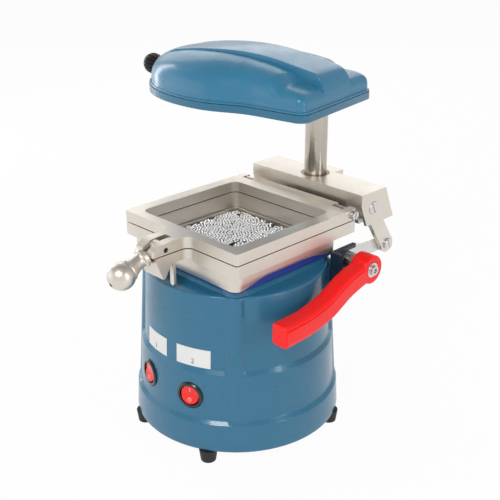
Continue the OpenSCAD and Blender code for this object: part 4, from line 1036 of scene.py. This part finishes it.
def numberOutline(text, size):
    # a flat digit from Blender's own font, centred on its width
    curve = bpy.data.curves.new("digit", "FONT")
    curve.body, curve.size, curve.align_x, curve.resolution_u = text, size, "CENTER", 6
    obj = linked("digit", curve)
    mesh = bpy.data.meshes.new_from_object(obj.evaluated_get(bpy.context.evaluated_depsgraph_get()))
    bpy.data.objects.remove(obj)
    bm = bmesh.new()
    bm.from_mesh(mesh)
    bmesh.ops.remove_doubles(bm, verts=bm.verts, dist=1e-4)
    pts = np.array([v.co[:2] for v in bm.verts])
    bm.verts.index_update()
    faces = [[v.index for v in f.verts] for f in bm.faces]
    bm.free()
    return pts, faces


def makePlates(p):
    # two thin plates bent round the body, each with a plain number proud of it
    sheets, numbers = [], []
    for a0, a1, text in p["places"]:
        mid, half = (a0 + a1) / 2, math.radians(a1 - a0) / 2 * p["radiusLow"]
        x, z = np.meshgrid(np.linspace(-half, half, 33), np.linspace(p["lowZ"], p["highZ"], 9))
        pts = np.stack([x.ravel(), z.ravel()], 1)
        idx = np.arange(pts.shape[0]).reshape(x.shape)
        f = np.stack([idx[:-1, :-1], idx[:-1, 1:], idx[1:, 1:], idx[1:, :-1]], -1).reshape(-1, 4).tolist()
        sheets.append(slab(pts, f, lambda q, h: wrapped(q, mid, p, h), p["gap"], p["thickness"], "plate"))
        digit, faces = numberOutline(text, p["numberSize"])
        digit = digit + [0, p["numberZ"]]
        numbers.append(slab(digit, faces, lambda q, h: wrapped(q, mid, p, h), p["thickness"] - p["inkRoot"],
                            p["thickness"] + p["inkRise"], "number"))
    sheet = joined(sheets, "frontPlates")
    addPiece("frontPlates", sheet, "base", "white_plate", ["front_plates"], sharp=40)
    addPiece("plateNumbers", joined(numbers, "plateNumbers"), "base", "black_plastic", [], "printed_grey")


makePlates(plates)

rockers = {
    "places": [(-71, 58.5, "rocker_right"), (-104.5, 60, "rocker_left")],  # direction, height, body
    "radius": 83.4, "depth": -4.0, "tilt": -6.0, "valley": 5.2, "slope": 9.0,
    "barAt": -4.5, "bar": (3.0, 0.75), "ringAt": 4.3, "ring": (1.7, 1.05), "proud": 0.09, "root": -0.05,
    "ringPoints": 32,
}


def makeRockerMarks(r):
    # a bar on the upper half and a ring on the lower half of each rocker's hollow face
    n = r["ringPoints"]
    t = np.linspace(0, 2 * np.pi, n, endpoint=False)
    ring = np.concatenate([np.stack([r["ringAt"] + q * np.cos(t), q * np.sin(t)], 1) for q in r["ring"]])
    ringIdx = [[i, (i + 1) % n, n + (i + 1) % n, n + i] for i in range(n)]
    length, width = r["bar"]
    corners = np.array([(-1, -1), (1, -1), (1, 1), (-1, 1)])
    bar = corners * [length / 2, width / 2] + [r["barAt"], 0]

    def onFace(q, h):
        z = r["valley"] + np.abs(q[:, 0]) * math.tan(math.radians(r["slope"])) + h
        return np.column_stack([q, z])
    for direction, height, name in r["places"]:
        mesh = joined([slab(ring, ringIdx, onFace, r["root"], r["proud"], "ring"),
                       slab(bar, [[0, 1, 2, 3]], onFace, r["root"], r["proud"], "bar")], "rockerMarks")
        outside = turned(direction, "Z") @ moved(r["radius"], 0, height) @ turned(90, "Y")
        mesh.transform(outside @ moved(0, 0, r["depth"]) @ turned(r["tilt"], "Y"))
        addPiece("marks" + name.title().replace("_", ""), mesh, name, "white_plate", [], "printed_white", 40)


makeRockerMarks(rockers)
print("stage 10: plates and marks")
